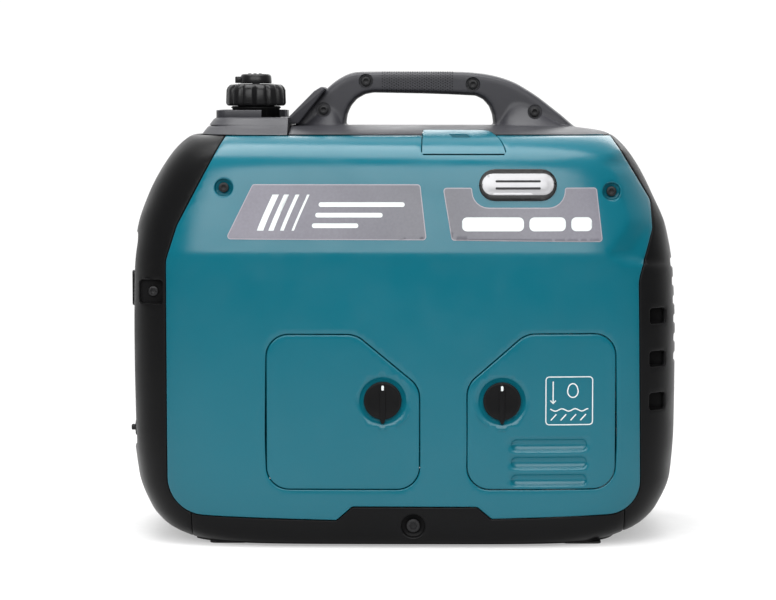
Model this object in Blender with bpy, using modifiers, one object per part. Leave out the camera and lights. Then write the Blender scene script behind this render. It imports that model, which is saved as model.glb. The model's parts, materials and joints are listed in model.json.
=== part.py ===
"""Portable inverter generator in a suitcase housing, as an assembly of separate pieces.

Metres, +Z up. The origin is the centre of the footprint, on the surface the feet stand on.
-X is the control panel end, +X the exhaust end, -Y the service side, +Y the recoil side.
"""

import math

import bmesh
import bpy
import numpy as np
from mathutils import Matrix, Vector

# ---------------------------------------------------------------- driving dimensions
HALF_LENGTH = 0.255
HALF_WIDTH = 0.145
HEIGHT = 0.435
FOOT_HEIGHT = 0.002
CREST_Z = 0.384
WALL = 0.0028
GAP = 0.0003
PLAN_POWER = 4.5
PLAN_POINTS = 36

RIDGE_Z = 0.269
TOP_SEAM_Z = 0.3755
SLICE_HEIGHTS = (
    FOOT_HEIGHT, 0.007, 0.018, 0.036, 0.072, 0.190, RIDGE_Z,
    0.330, 0.353, 0.366, 0.376, CREST_Z,
)

# (height, reach from the middle) of the two ends and of the long sides
LEFT_END = ((0.0, 0.190), (0.006, 0.209), (0.015, 0.225), (0.030, 0.2375), (0.060, 0.2490),
            (0.110, 0.2540), (0.190, HALF_LENGTH), (0.250, 0.2540), (0.290, 0.2490),
            (0.320, 0.2390), (0.350, 0.2230), (0.372, 0.2040), (0.378, 0.190), (CREST_Z, 0.130))
RIGHT_END = ((0.0, 0.190), (0.006, 0.205), (0.015, 0.224), (0.030, 0.2385), (0.060, 0.2510),
             (0.110, 0.2545), (0.190, HALF_LENGTH), (0.250, 0.2525), (0.290, 0.2460),
             (0.320, 0.2335), (0.350, 0.2180), (0.372, 0.2000), (0.378, 0.190), (CREST_Z, 0.150))
SIDE_LOW = ((0.0, 0.128), (0.006, 0.136), (0.015, 0.1400), (0.040, 0.1418), (0.140, 0.1433),
            (RIDGE_Z, HALF_WIDTH))
SIDE_HIGH = ((RIDGE_Z, HALF_WIDTH), (0.312, 0.1372), (0.345, 0.1312), (0.357, 0.1260),
             (0.366, 0.1165), (0.373, 0.1010), (0.378, 0.0780), (0.382, 0.0480), (CREST_Z, 0.025))

# (x, z, corner radius) of the coloured side panels, seen from the service side
PANEL_OUTLINE = (
    (-0.2168, 0.0290, 0.034), (-0.0600, 0.0252, 0.004), (-0.0457, 0.0378, 0.004),
    (0.0682, 0.0376, 0.004), (0.0813, 0.0266, 0.004), (0.2190, 0.0300, 0.030),
    (0.2160, 0.2450, 0.040), (0.2300, 0.2900, 0.014), (0.2290, 0.3160, 0.014),
    (0.1960, 0.3700, 0.010), (0.1930, TOP_SEAM_Z, 0.0), (-0.1640, TOP_SEAM_Z, 0.0),
    (-0.1760, 0.3520, 0.020), (-0.2065, 0.2940, 0.030), (-0.2168, 0.2620, 0.020),
)
PANEL_INNER_Y = 0.060
BASE_ENDS = (-0.194, 0.204)

CARBURETOR_DOOR = (
    (-0.1244, 0.0536, 0.021), (0.0161, 0.0536, 0.021), (0.0161, 0.1480, 0.022),
    (-0.0420, 0.1962, 0.024), (-0.1244, 0.1962, 0.021),
)
OIL_DOOR = (
    (0.0584, 0.0536, 0.021), (0.1950, 0.0536, 0.021), (0.1950, 0.1967, 0.021),
    (0.1120, 0.1967, 0.024), (0.0584, 0.1500, 0.022),
)
DOOR_GAP = 0.0008
CARBURETOR_KNOB = (-0.0179, 0.1354)
OIL_KNOB = (0.0906, 0.1350)
KNOB_RADIUS = 0.0172
KNOB_SHAFT_RADIUS = 0.0050
RIB_PROUD = 0.0014
DISH_RADIUS = 0.0222

LID = ((0.0170, -0.1290, 0.004), (0.0950, -0.1290, 0.004), (0.0900, -0.0640, 0.012),
       (0.0180, -0.0620, 0.004))
LID_LOWEST = 0.3585

CONTROL_OPENING = ((-0.085, 0.085), (0.085, 0.085), (0.085, 0.285), (-0.085, 0.285))
CONTROL_CORNER = 0.012
CONTROL_FACE_X = -0.2395
CONTROL_THICKNESS = 0.003
SOCKETS = {"a": -0.042, "b": 0.042}
SOCKET_Z = 0.150
SOCKET_HALF = 0.0240
SOCKET_RECESS = (0.0195, 0.0175)

CAP_CENTRE = (-0.1405, 0.0)
DECK_Z = 0.3915
CAP_BOTTOM_Z = 0.4022
CAP_TOP_Z = 0.4230
CAP_RADIUS = 0.0285
NECK_RADIUS = 0.0225

CRANK_Z = 0.150
REEL_X = -0.055
ROPE_RADIUS = 0.0020
REEL_GROOVE_RADIUS = 0.0410
ROPE_Z = CRANK_Z + REEL_GROOVE_RADIUS + ROPE_RADIUS + GAP
POCKET_HALF = (0.0370, 0.0210)
POCKET_FLOOR_Y = 0.1150

HANDLE_OUTLINE = (
    (-0.1040, 0.3760, 0.0), (-0.1020, 0.3870, 0.006), (-0.0715, 0.4190, 0.006),
    (-0.0510, HEIGHT, 0.014), (0.0855, 0.4335, 0.016), (0.1070, 0.4245, 0.020),
    (0.1515, 0.3920, 0.020), (0.1680, 0.3760, 0.0),
)
HANDLE_OPENING = (
    (-0.0545, 0.3700, 0.0), (0.0855, 0.3700, 0.0), (0.0845, 0.4145, 0.024),
    (-0.0505, 0.4145, 0.026),
)
GRIP_HALF = 0.0180

HANDLE_RECESS = 0.0060

# (name, x, z) of the sunk screws on the service side
HANDLE_SCREWS = (("handle_screw_1", -0.0356, 0.4255), ("handle_screw_2", 0.0654, 0.4225),
                 ("handle_screw_3", -0.0757, 0.3985), ("handle_screw_4", 0.1238, 0.3965))
COVER_SCREWS = (("cover_screw_1", -0.1630, 0.3286), ("cover_screw_2", 0.1905, 0.3250))
FEET = (("foot_1", -0.160, -0.100), ("foot_2", 0.165, -0.100),
        ("foot_3", -0.160, 0.100), ("foot_4", 0.165, 0.100))

# ---------------------------------------------------------------- collections
for old in list(bpy.data.objects):
    bpy.data.objects.remove(old, do_unlink=True)

PARTS = bpy.data.collections.new("portable_generator")
CUTTERS = bpy.data.collections.new("cutters")
for group in (PARTS, CUTTERS):
    bpy.context.scene.collection.children.link(group)


# ---------------------------------------------------------------- materials
def material(name, colour, roughness, metallic=0.0):
    """A Principled material of one colour."""
    made = bpy.data.materials.get(name) or bpy.data.materials.new(name)
    made.use_nodes = True
    shader = made.node_tree.nodes["Principled BSDF"]
    shader.inputs["Base Color"].default_value = (*colour, 1.0)
    shader.inputs["Roughness"].default_value = roughness
    shader.inputs["Metallic"].default_value = metallic
    return made


TEAL = ("teal_plastic", (0.012, 0.200, 0.255), 0.42)
GREY = ("grey_plastic", (0.045, 0.045, 0.052), 0.50)
BLACK = ("black_plastic", (0.014, 0.014, 0.015), 0.48)
RUBBER = ("black_rubber", (0.012, 0.012, 0.012), 0.80)
STEEL = ("zinc_steel", (0.55, 0.55, 0.56), 0.35, 1.0)
ALUMINIUM = ("cast_aluminium", (0.50, 0.51, 0.52), 0.50, 1.0)
PAPER = ("filter_foam", (0.10, 0.10, 0.09), 0.90)
PALE = ("pale_plastic", (0.60, 0.60, 0.58), 0.45)
GREEN = ("green_plastic", (0.02, 0.22, 0.08), 0.45)
RED = ("red_plastic", (0.45, 0.02, 0.02), 0.45)
COPPER = ("copper_winding", (0.60, 0.24, 0.10), 0.40, 1.0)
ROPE = ("rope_fibre", (0.05, 0.05, 0.05), 0.90)


# ---------------------------------------------------------------- curves and outlines
def smooth_curve(knots):
    """A monotone cubic through (t, value) knots, as a function of t."""
    t = np.array([knot[0] for knot in knots])
    value = np.array([knot[1] for knot in knots])
    step = np.diff(t)
    rise = np.diff(value) / step
    slope = np.empty(len(t))
    slope[0], slope[-1] = rise[0], rise[-1]
    for i in range(1, len(t) - 1):
        same_way = rise[i - 1] * rise[i] > 0
        slope[i] = 2 * rise[i - 1] * rise[i] / (rise[i - 1] + rise[i]) if same_way else 0.0

    def at(x):
        i = int(min(max(np.searchsorted(t, x) - 1, 0), len(step) - 1))
        s = (x - t[i]) / step[i]
        return float(
            (1 + 2 * s) * (1 - s) ** 2 * value[i] + s * (1 - s) ** 2 * step[i] * slope[i]
            + s * s * (3 - 2 * s) * value[i + 1] + s * s * (s - 1) * step[i] * slope[i + 1]
        )

    return at


left_end = smooth_curve(LEFT_END)
right_end = smooth_curve(RIGHT_END)
side_low = smooth_curve(SIDE_LOW)
side_high = smooth_curve(SIDE_HIGH)


def side_reach(z):
    return side_low(z) if z <= RIDGE_Z else side_high(z)


def side_y(x, z):
    """How far the housing reaches from the middle plane at this length and height."""
    end = left_end(z) if x < 0 else right_end(z)
    inside = max(1.0 - (abs(x) / end) ** PLAN_POWER, 0.0)
    return side_reach(z) * inside ** (1 / PLAN_POWER)


def rounded(points, steps=3):
    """The outline through (a, b, radius) corners, each corner an arc of its radius."""
    outline = []
    count = len(points)
    for i, (a, b, radius) in enumerate(points):
        here = Vector((a, b))
        before = (Vector(points[i - 1][:2]) - here).normalized()
        after = (Vector(points[(i + 1) % count][:2]) - here).normalized()
        if radius <= 0:
            outline.append((a, b))
            continue
        half = before.angle(after) / 2
        reach = radius / math.tan(half)
        centre = here + (before + after).normalized() * radius / math.sin(half)
        start = here + before * reach - centre
        stop = here + after * reach - centre
        sweep = start.angle_signed(stop)
        for k in range(steps + 1):
            turned = start.copy()
            turned.rotate(Matrix.Rotation(-sweep * k / steps, 2))
            outline.append(tuple(centre + turned))
    return outline


def inset(outline, distance):
    """The outline moved inwards by a distance, or outwards by a negative one."""
    points = [Vector(p) for p in outline]
    area = sum(p.cross(q) for p, q in zip(points, points[1:] + points[:1]))
    turn = 1 if area > 0 else -1
    moved = []
    for i, here in enumerate(points):
        before = (here - points[i - 1]).normalized()
        after = (points[(i + 1) % len(points)] - here).normalized()
        normal_a = Vector((-before.y, before.x)) * turn
        normal_b = Vector((-after.y, after.x)) * turn
        middle = (normal_a + normal_b).normalized()
        moved.append(tuple(here + middle * distance / max(middle.dot(normal_a), 0.3)))
    return moved


def circle(centre, radius, steps=20):
    return [(centre[0] + radius * math.cos(2 * math.pi * k / steps),
             centre[1] + radius * math.sin(2 * math.pi * k / steps)) for k in range(steps)]


# ---------------------------------------------------------------- making solids
def add(name, mesh, paint=None, smooth=35):
    """An object from a mesh: a part when it has paint, otherwise a cutter."""
    made = bpy.data.objects.new(name, mesh)
    if paint:
        PARTS.objects.link(made)
        mesh.materials.clear()
        mesh.materials.append(material(*paint))
        if smooth:
            mesh.shade_smooth()
            mesh.set_sharp_from_angle(angle=math.radians(smooth))
    else:
        CUTTERS.objects.link(made)
        made.hide_render = True
        made.display_type = "WIRE"
    return made


def mesh_from(name, work):
    """The mesh that a bmesh holds, with its faces turned outwards."""
    bmesh.ops.recalc_face_normals(work, faces=work.faces)
    mesh = bpy.data.meshes.new(name)
    work.to_mesh(mesh)
    work.free()
    return mesh


def box(name, low, high, paint=None, round_by=0.0):
    """A box between two corners, its edges rounded when round_by is given."""
    work = bmesh.new()
    bmesh.ops.create_cube(work, size=1.0)
    size = Vector(high) - Vector(low)
    bmesh.ops.scale(work, vec=size, verts=work.verts)
    bmesh.ops.translate(work, vec=(Vector(high) + Vector(low)) / 2, verts=work.verts)
    if round_by:
        bmesh.ops.bevel(work, geom=work.edges[:], offset=round_by, segments=2,
                        profile=0.5, affect="EDGES")
    return add(name, mesh_from(name, work), paint)


AXES = {
    "X": Matrix(((0, 0, 1), (1, 0, 0), (0, 1, 0))),
    "Y": Matrix(((1, 0, 0), (0, 0, 1), (0, 1, 0))),
    "Z": Matrix.Identity(3),
}


def prism(name, outline, axis, low, high, paint=None):
    """A flat outline given thickness between two places along an axis.

    The outline's pairs are (y, z) along X, (x, z) along Y and (x, y) along Z.
    """
    flat = bpy.data.curves.new(name, "CURVE")
    flat.dimensions = "2D"
    flat.fill_mode = "BOTH"
    flat.extrude = (high - low) / 2
    spline = flat.splines.new("POLY")
    spline.points.add(len(outline) - 1)
    for point, (a, b) in zip(spline.points, outline):
        point.co = (a, b, 0, 1)
    spline.use_cyclic_u = True
    holder = bpy.data.objects.new(name, flat)
    bpy.context.scene.collection.objects.link(holder)
    bpy.context.view_layer.update()
    seen = holder.evaluated_get(bpy.context.evaluated_depsgraph_get())
    mesh = bpy.data.meshes.new_from_object(seen)
    bpy.data.objects.remove(holder, do_unlink=True)
    work = bmesh.new()
    work.from_mesh(mesh)
    bpy.data.meshes.remove(mesh)
    bmesh.ops.remove_doubles(work, verts=work.verts, dist=1e-6)
    bmesh.ops.translate(work, vec=(0, 0, (high + low) / 2), verts=work.verts)
    bmesh.ops.transform(work, matrix=AXES[axis].to_4x4(), verts=work.verts)
    return add(name, mesh_from(name, work), paint)


def turned(name, profile, origin, direction, paint=None, steps=24):
    """A turned solid: (radius, height) points down its outer side, about a direction.

    Heights run along the direction from the origin, and the first is the highest.
    """
    work = bmesh.new()
    rings = []
    for radius, height in profile:
        rings.append(work.verts.new((radius, 0.0, height)))
    for a, b in zip(rings, rings[1:]):
        work.edges.new((a, b))
    mesh = bpy.data.meshes.new(name)
    work.to_mesh(mesh)
    work.free()
    holder = bpy.data.objects.new(name, mesh)
    bpy.context.scene.collection.objects.link(holder)
    screw = holder.modifiers.new("turn", "SCREW")
    screw.steps = steps
    screw.render_steps = steps
    screw.use_merge_vertices = True
    screw.merge_threshold = 1e-6
    bpy.context.view_layer.update()
    seen = holder.evaluated_get(bpy.context.evaluated_depsgraph_get())
    solid = bpy.data.meshes.new_from_object(seen)
    bpy.data.objects.remove(holder, do_unlink=True)
    work = bmesh.new()
    work.from_mesh(solid)
    bpy.data.meshes.remove(solid)
    bmesh.ops.remove_doubles(work, verts=work.verts, dist=1e-6)
    turn = Vector((0, 0, 1)).rotation_difference(Vector(direction)).to_matrix().to_4x4()
    bmesh.ops.transform(work, matrix=Matrix.Translation(origin) @ turn, verts=work.verts)
    return add(name, mesh_from(name, work), paint)


def cylinder(name, radius, start, end, paint=None, steps=24, chamfer=0.0):
    """A cylinder between two points, with its rims chamfered when asked."""
    start, end = Vector(start), Vector(end)
    length = (end - start).length
    profile = [(0, length), (radius, length), (radius, 0), (0, 0)]
    if chamfer:
        profile = [(0, length), (radius - chamfer, length), (radius, length - chamfer),
                   (radius, chamfer), (radius - chamfer, 0), (0, 0)]
    return turned(name, profile, start, end - start, paint, steps)


def ring(name, outer, inner, start, end, paint=None, steps=24):
    """A straight tube between two points."""
    length = (Vector(end) - Vector(start)).length
    profile = [(inner, length), (outer, length), (outer, 0), (inner, 0), (inner, length)]
    return turned(name, profile, start, Vector(end) - Vector(start), paint, steps)


def loft(name, slices, paint=None):
    """A solid through closed slices of equal point counts, bottom to top."""
    work = bmesh.new()
    rings = [[work.verts.new(point) for point in points] for points in slices]
    count = len(rings[0])
    for low, high in zip(rings, rings[1:]):
        for i in range(count):
            j = (i + 1) % count
            work.faces.new((low[i], low[j], high[j], high[i]))
    work.faces.new(rings[0][::-1])
    work.faces.new(rings[-1])
    return add(name, mesh_from(name, work), paint)


def slice_at(z, left, right, depth, power, points, middle=0.0):
    """A rounded slice: reaches left, right and to both sides by depth at height z."""
    ring_points = []
    for k in range(points):
        angle = 2 * math.pi * k / points
        c, s = math.cos(angle), math.sin(angle)
        along = math.copysign(abs(c) ** (2 / power), c)
        across = math.copysign(abs(s) ** (2 / power), s)
        reach = right if along > 0 else left
        ring_points.append((middle + reach * along, depth * across, z))
    return ring_points


def boolean(target, tool, operation):
    step = target.modifiers.new(tool.name, "BOOLEAN")
    step.operation = operation
    step.solver = "EXACT"
    step.object = tool
    return target


def cut(target, *tools):
    for tool in tools:
        boolean(target, tool, "DIFFERENCE")
    return target


def keep(target, *tools):
    for tool in tools:
        boolean(target, tool, "INTERSECT")
    return target


def join(target, *tools):
    for tool in tools:
        boolean(target, tool, "UNION")
    return target


def pivot(part, place):
    """Moves a part's origin to a place on its joint's axis, without moving its shape."""
    part.data.transform(Matrix.Translation(-Vector(place)))
    part.location = place
    return part


# ---------------------------------------------------------------- the housing's envelope
def envelope(name, offset, paint=None):
    """The housing as one solid, its whole surface moved inwards by the offset."""
    height = CREST_Z - FOOT_HEIGHT
    slices = []
    for z in SLICE_HEIGHTS:
        moved = FOOT_HEIGHT + offset + (z - FOOT_HEIGHT) * (height - 2 * offset) / height
        slices.append(slice_at(moved, left_end(z) - offset, right_end(z) - offset,
                               side_reach(z) - offset, PLAN_POWER, PLAN_POINTS))
    return loft(name, slices, paint)


def shell_piece(name, paint, *regions):
    """The part of the housing's wall that lies inside every region."""
    return keep(cut(envelope(name, 0.0, paint), inner_space), *regions)


inner_space = envelope("cut_inner_space", WALL)
just_inside = envelope("keep_just_inside", 0.0004)
FAR = 0.3


# ---------------------------------------------------------------- side panels
def screw_recess(name, x, z, side, radius, depth):
    """The bore of a sunk screw in a side panel: a wide recess and a shank hole."""
    face = side_y(x, z)
    profile = [(0, 0.012), (radius, 0.012), (radius, -depth), (0.0026, -depth),
               (0.0026, -0.04), (0, -0.04)]
    return turned(name, profile, (x, side * face, z), (0, side, 0), steps=16)


def make_side_panel(name, side):
    outline = rounded(PANEL_OUTLINE)
    low, high = (-FAR, -PANEL_INNER_Y) if side < 0 else (PANEL_INNER_Y, FAR)
    region = prism("region_" + name, outline, "Y", low, high)
    panel = shell_piece(name, TEAL, region)
    for i, (_, x, z) in enumerate(COVER_SCREWS):
        boss_start = (x, side * (side_y(x, z) - 0.0015), z)
        boss_end = (x, side * (side_y(x, z) - 0.0120), z)
        boss = cylinder(f"boss_{name}_{i}", 0.0105, boss_start, boss_end, steps=16)
        join(panel, boss)
        cut(panel, screw_recess(f"recess_{name}_{i}", x, z, side, 0.0080, 0.0060))
    return panel


service_side_cover = make_side_panel("service_side_cover", -1)
recoil_side_cover = make_side_panel("recoil_side_cover", 1)


def make_door(name, outline, knob, slots):
    """A service door with a dished knob seat and a shaft hole, and its panel opening."""
    opening = prism("opening_" + name, rounded(outline), "Y", -FAR, -PANEL_INNER_Y)
    cut(service_side_cover, opening)
    leaf = prism("leaf_" + name, inset(rounded(outline), DOOR_GAP), "Y", -FAR, -PANEL_INNER_Y)
    door = shell_piece(name, TEAL, leaf)
    x, z = knob
    face = side_y(x, z)
    seat = cylinder("seat_" + name, DISH_RADIUS + 0.0025, (x, -face + 0.0015, z),
                    (x, -face + 0.0080, z), steps=24)
    join(door, seat)
    dish = [(0, 0.02), (DISH_RADIUS, 0.02), (DISH_RADIUS, -0.0035),
            (KNOB_SHAFT_RADIUS + 0.0006, -0.0035), (KNOB_SHAFT_RADIUS + 0.0006, -0.04),
            (0, -0.04)]
    cut(door, turned("dish_" + name, dish, (x, -face, z), (0, -1, 0)))
    for i, height in enumerate(slots):
        slot = rounded(((0.0980, height - 0.0060, 0.0058), (0.1690, height - 0.0060, 0.0058),
                        (0.1690, height + 0.0060, 0.0058), (0.0980, height + 0.0060, 0.0058)), 2)
        cut(door, prism(f"slot_{name}_{i}", slot, "Y", -FAR, -side_y(0.133, height) + 0.0012))
    return door


OIL_DOOR_SLOTS = (0.0627, 0.0788, 0.0949)
carburetor_door = make_door("carburetor_door", CARBURETOR_DOOR, CARBURETOR_KNOB, ())
oil_door = make_door("oil_door", OIL_DOOR, OIL_KNOB, OIL_DOOR_SLOTS)


def make_knob(name, place):
    """A quarter-turn knob: a dished head with a finger rib, a shaft and a latch cam."""
    x, z = place
    face = side_y(x, z)
    origin = (x, -face, z)
    profile = [(0, 0.0), (KNOB_RADIUS - 0.0060, 0.0), (KNOB_RADIUS - 0.0020, 0.0010),
               (KNOB_RADIUS, 0.0), (KNOB_RADIUS, -0.0030), (KNOB_SHAFT_RADIUS, -0.0030),
               (KNOB_SHAFT_RADIUS, -0.0170), (0, -0.0170)]
    knob = turned(name, profile, origin, (0, -1, 0), BLACK, 20)
    rib = rounded(((x - 0.0030, z - 0.0215, 0.002), (x + 0.0030, z - 0.0215, 0.002),
                   (x + 0.0034, z + 0.0165, 0.002), (x - 0.0034, z + 0.0165, 0.002)), 2)
    join(knob, prism("rib_" + name, rib, "Y", -face - RIB_PROUD, -face + 0.0012))
    cam = rounded(((x - 0.0060, z - 0.0060, 0.004), (x + 0.0060, z - 0.0060, 0.004),
                   (x + 0.0060, z + 0.0240, 0.004), (x - 0.0060, z + 0.0240, 0.004)), 2)
    join(knob, prism("cam_" + name, cam, "Y", -face + 0.0130, -face + 0.0160))
    return pivot(knob, origin)


carburetor_door_knob = make_knob("carburetor_door_knob", CARBURETOR_KNOB)
oil_door_knob = make_knob("oil_door_knob", OIL_KNOB)

# ---------------------------------------------------------------- frames and base
PANEL_CLEAR = inset(rounded(PANEL_OUTLINE), -GAP)
PANEL_EDGE_TOP = 0.0420


def below_panel(name, low, high):
    """The strip of the housing under the panels' lower edge, between two lengths."""
    edge = sorted(point for point in PANEL_CLEAR if point[1] < PANEL_EDGE_TOP)
    lengths, heights = zip(*edge)
    outline = [(low, -0.01), (high, -0.01), (high, float(np.interp(high, lengths, heights)))]
    outline += [point for point in edge[::-1] if low < point[0] < high]
    outline += [(low, float(np.interp(low, lengths, heights)))]
    return prism(name, outline, "Y", -FAR, FAR)


def end_region(name, side):
    """One end of the housing, outside the panels' outline and the base."""
    low, high = sorted((side * 0.300, side * 0.120))
    region = box(name, (low, -FAR, -0.01), (high, FAR, TOP_SEAM_Z))
    cut(region, panel_clear_cutter, base_clear_cutter)
    return region


panel_clear_cutter = prism("cut_panel_clear", PANEL_CLEAR, "Y", -FAR, FAR)
base_clear_cutter = below_panel("cut_base", BASE_ENDS[0] - GAP, BASE_ENDS[1] + GAP)


def make_front_frame():
    """The frame round the control panel, with its opening, lip and one sunk screw."""
    frame = shell_piece("front_frame", BLACK, end_region("region_front", -1))
    opening = [(y, z, CONTROL_CORNER) for y, z in CONTROL_OPENING]
    cut(frame, prism("cut_control_opening", rounded(opening), "X", -FAR, -0.200))
    pocket = rounded(((-0.2415, 0.2215, 0.003), (-0.2195, 0.2215, 0.003),
                      (-0.2195, 0.2440, 0.003), (-0.2415, 0.2440, 0.003)), 2)
    for side in (-1, 1):
        low, high = sorted((side * 0.0980, side * FAR))
        boss = box(f"boss_frame_{side}", (-0.2460, low, 0.2180), (-0.2170, high, 0.2480))
        join(frame, keep(boss, just_inside))
        low, high = sorted((side * FRAME_SCREW_Y, side * FAR))
        cut(frame, prism(f"cut_frame_pocket_{side}", pocket, "Y", low, high))
        cut(frame, cylinder(f"cut_frame_shank_{side}", 0.0026, (-0.2290, side * 0.090, 0.2330),
                            (-0.2290, side * 0.150, 0.2330), steps=12))
    return frame


def make_rear_cover():
    """The cover of the exhaust end, with side vents, a louvred face and a tailpipe hole."""
    cover = shell_piece("rear_cover", BLACK, end_region("region_rear", 1))
    for i, (low, high) in enumerate(REAR_VENTS):
        for side in (-1, 1):
            a, b = sorted((side * 0.095, side * FAR))
            cut(cover, box(f"cut_vent_{i}_{side}", (0.2260, a, low), (0.2420, b, high)))
    for i in range(LOUVRES):
        z = LOUVRE_LOW + i * LOUVRE_PITCH
        cut(cover, box(f"cut_louvre_{i}", (0.230, -0.078, z), (FAR, 0.078, z + 0.0085)))
    cut(cover, cylinder("cut_tailpipe", TAIL_RADIUS + 0.004, (0.230, TAIL_Y, TAIL_Z),
                        (0.300, TAIL_Y, TAIL_Z), steps=20))
    return cover


FRAME_SCREW_Y = 0.1090
REAR_VENTS = ((0.1240, 0.1400), (0.1640, 0.1785), (0.2035, 0.2180))
LOUVRES = 6
LOUVRE_LOW = 0.165
LOUVRE_PITCH = 0.0175
TAIL_RADIUS = 0.0120
TAIL_Y = 0.040
TAIL_Z = 0.135

front_frame = make_front_frame()
rear_cover = make_rear_cover()

BASE_SCREW = (0.0099, 0.0200)


def make_base_tray():
    """The floor pan with its rails, a sunk screw each side and foot seats."""
    tray = shell_piece("base_tray", BLACK,
                       below_panel("region_base", BASE_ENDS[0], BASE_ENDS[1]))
    x, z = BASE_SCREW
    for side in (-1, 1):
        face = side_y(x, z)
        boss = cylinder(f"boss_base_{side}", 0.0130, (x, side * (face - 0.0015), z),
                        (x, side * (face - 0.0120), z), steps=20)
        join(tray, boss)
        profile = [(0, 0.012), (0.0109, 0.012), (0.0109, -0.0065), (0.0031, -0.0065),
                   (0.0031, -0.04), (0, -0.04)]
        cut(tray, turned(f"recess_base_{side}", profile, (x, side * face, z), (0, side, 0),
                         steps=20))
    return tray


base_tray = make_base_tray()
for name, x, y in FEET:
    box(name, (x - 0.018, y - 0.012, 0.0), (x + 0.018, y + 0.012, FOOT_HEIGHT - GAP), RUBBER)


# ---------------------------------------------------------------- handle and top
def leg(name, low, high, half_low, half_high, middle_low, middle_high, reach_low, reach_high):
    """A flared handle leg between two heights."""
    slices = []
    steps = 5
    for k in range(steps + 1):
        t = k / steps
        ease = (1 - t) ** 2
        slices.append(slice_at(low + (high - low) * t,
                               reach_high + (reach_low - reach_high) * ease,
                               reach_high + (reach_low - reach_high) * ease,
                               half_high + (half_low - half_high) * ease, 3.0, 24,
                               middle_high + (middle_low - middle_high) * (1 - t)))
    return loft(name, slices)


def make_handle_half(name, side):
    """One moulding of the carrying handle with its half of the body's top."""
    outline = rounded(HANDLE_OUTLINE)
    slices = []
    for y, inwards in ((-GRIP_HALF, 0.0050), (-0.0165, 0.0015), (-0.0130, 0.0),
                       (0.0130, 0.0), (0.0165, 0.0015), (GRIP_HALF, 0.0050)):
        slices.append([(a, y, b) for a, b in inset(outline, inwards)])
    core = loft("core_" + name, slices)
    crown_low = TOP_SEAM_Z + GAP
    low, high = sorted((side * GAP / 2, side * FAR))
    half = shell_piece(name, GREY, box("region_" + name, (-0.1062, low, crown_low),
                                       (FAR, high, CREST_Z + 0.01)))
    tucked = GRIP_HALF - 0.0012
    right_leg = leg("right_leg_" + name, 0.3688, 0.4120, 0.0466, tucked, 0.1255, 0.1025,
                    0.0450, 0.0160)
    left_leg = leg("left_leg_" + name, 0.3691, 0.4080, 0.0406, tucked, -0.0772, -0.0685,
                   0.0255, 0.0120)
    solid = join(core, right_leg, left_leg)
    opening = prism("opening_" + name, rounded(HANDLE_OPENING), "Y", -FAR, FAR)
    cut(solid, opening)
    slab = box("limit_" + name, (-0.1062, low, crown_low), (FAR, high, HEIGHT + 0.01))
    keep(solid, slab)
    join(half, solid)
    cut(half, crown_hollow)
    for _, x, z in HANDLE_SCREWS:
        seat = side * (handle_face(x, z) - HANDLE_RECESS)
        start, stop = sorted((seat, side * FAR))
        cut(half, cylinder(f"recess_{name}_{x:.3f}", 0.0068, (x, start, z), (x, stop, z),
                           steps=14))
        start, stop = sorted((-side * 0.01, side * FAR))
        cut(half, cylinder(f"shank_{name}_{x:.3f}", 0.0026, (x, start, z), (x, stop, z),
                           steps=10))
    return half


def handle_face(x, z):
    """How far the handle's side reaches at a screw, which the flared legs widen."""
    flare = max(0.412 - z, 0.0) / 0.042
    return GRIP_HALF + 0.012 * flare


crown_hollow = cut(box("cut_crown_hollow", (-0.105, -0.120, 0.366), (0.200, 0.120, CREST_Z)),
                   cut(box("keep_crown", (-FAR, -FAR, 0.360), (FAR, FAR, 0.400)), inner_space))

handle_near_half = make_handle_half("handle_near_half", -1)
handle_far_half = make_handle_half("handle_far_half", 1)


# ---------------------------------------------------------------- tank cover and lid
def make_tank_top_cover():
    """The raised deck round the filler, its drip fence and the tongue on the handle."""
    low = TOP_SEAM_Z + GAP
    slices = []
    for z, left, half in ((low, 0.0890, 0.0900), (0.3830, 0.0835, 0.0760),
                          (0.3890, 0.0790, 0.0690), (DECK_Z, 0.0765, 0.0660)):
        slices.append(slice_at(z, left, 0.0600, half, 4.0, 28, COVER_MIDDLE))
    cover = loft("tank_top_cover", slices, GREY)
    keep(cover, box("limit_tank_cover", (-FAR, -FAR, low), (COVER_RIGHT, FAR, 0.5)))
    inner = []
    for z, left, half in ((low - 0.001, 0.0862, 0.0872), (0.3815, 0.0807, 0.0732),
                          (0.3875, 0.0762, 0.0662), (DECK_Z - WALL, 0.0740, 0.0635)):
        inner.append(slice_at(z, left, 0.0600, half, 4.0, 28, COVER_MIDDLE))
    hollow = loft("cut_tank_cover_inner", inner)
    keep(hollow, box("limit_tank_inner", (-FAR, -FAR, 0.3), (COVER_RIGHT - WALL, FAR, 0.5)))
    cut(cover, hollow)
    tongue = ((-0.1120, 0.3860), (-0.1043, 0.3872), (-0.0727, 0.4193), (-0.0765, 0.4206),
              (-0.0835, 0.4168), (-0.1120, 0.3915))
    join(cover, prism("tongue", tongue, "Y", -0.0300, 0.0300))
    fence = prism("fence", rounded(FENCE), "Z", DECK_Z - 0.001, DECK_Z + 0.0068)
    cut(fence, prism("cut_fence", inset(rounded(FENCE), 0.0022), "Z", 0.38, 0.41))
    cut(fence, box("cut_fence_gap", (-0.1330, -0.08, 0.38), (-0.08, 0.0, 0.41)))
    join(cover, fence)
    x, y = CAP_CENTRE
    cut(cover, cylinder("cut_filler_hole", NECK_RADIUS + 0.0040, (x, y, 0.37), (x, y, 0.41)))
    return cover


COVER_MIDDLE = -0.1010
COVER_RIGHT = -0.1070
FENCE = ((-0.1760, -0.0450, 0.012), (-0.1108, -0.0450, 0.004), (-0.1108, 0.0450, 0.012),
         (-0.1760, 0.0450, 0.012))

tank_top_cover = make_tank_top_cover()


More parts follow.
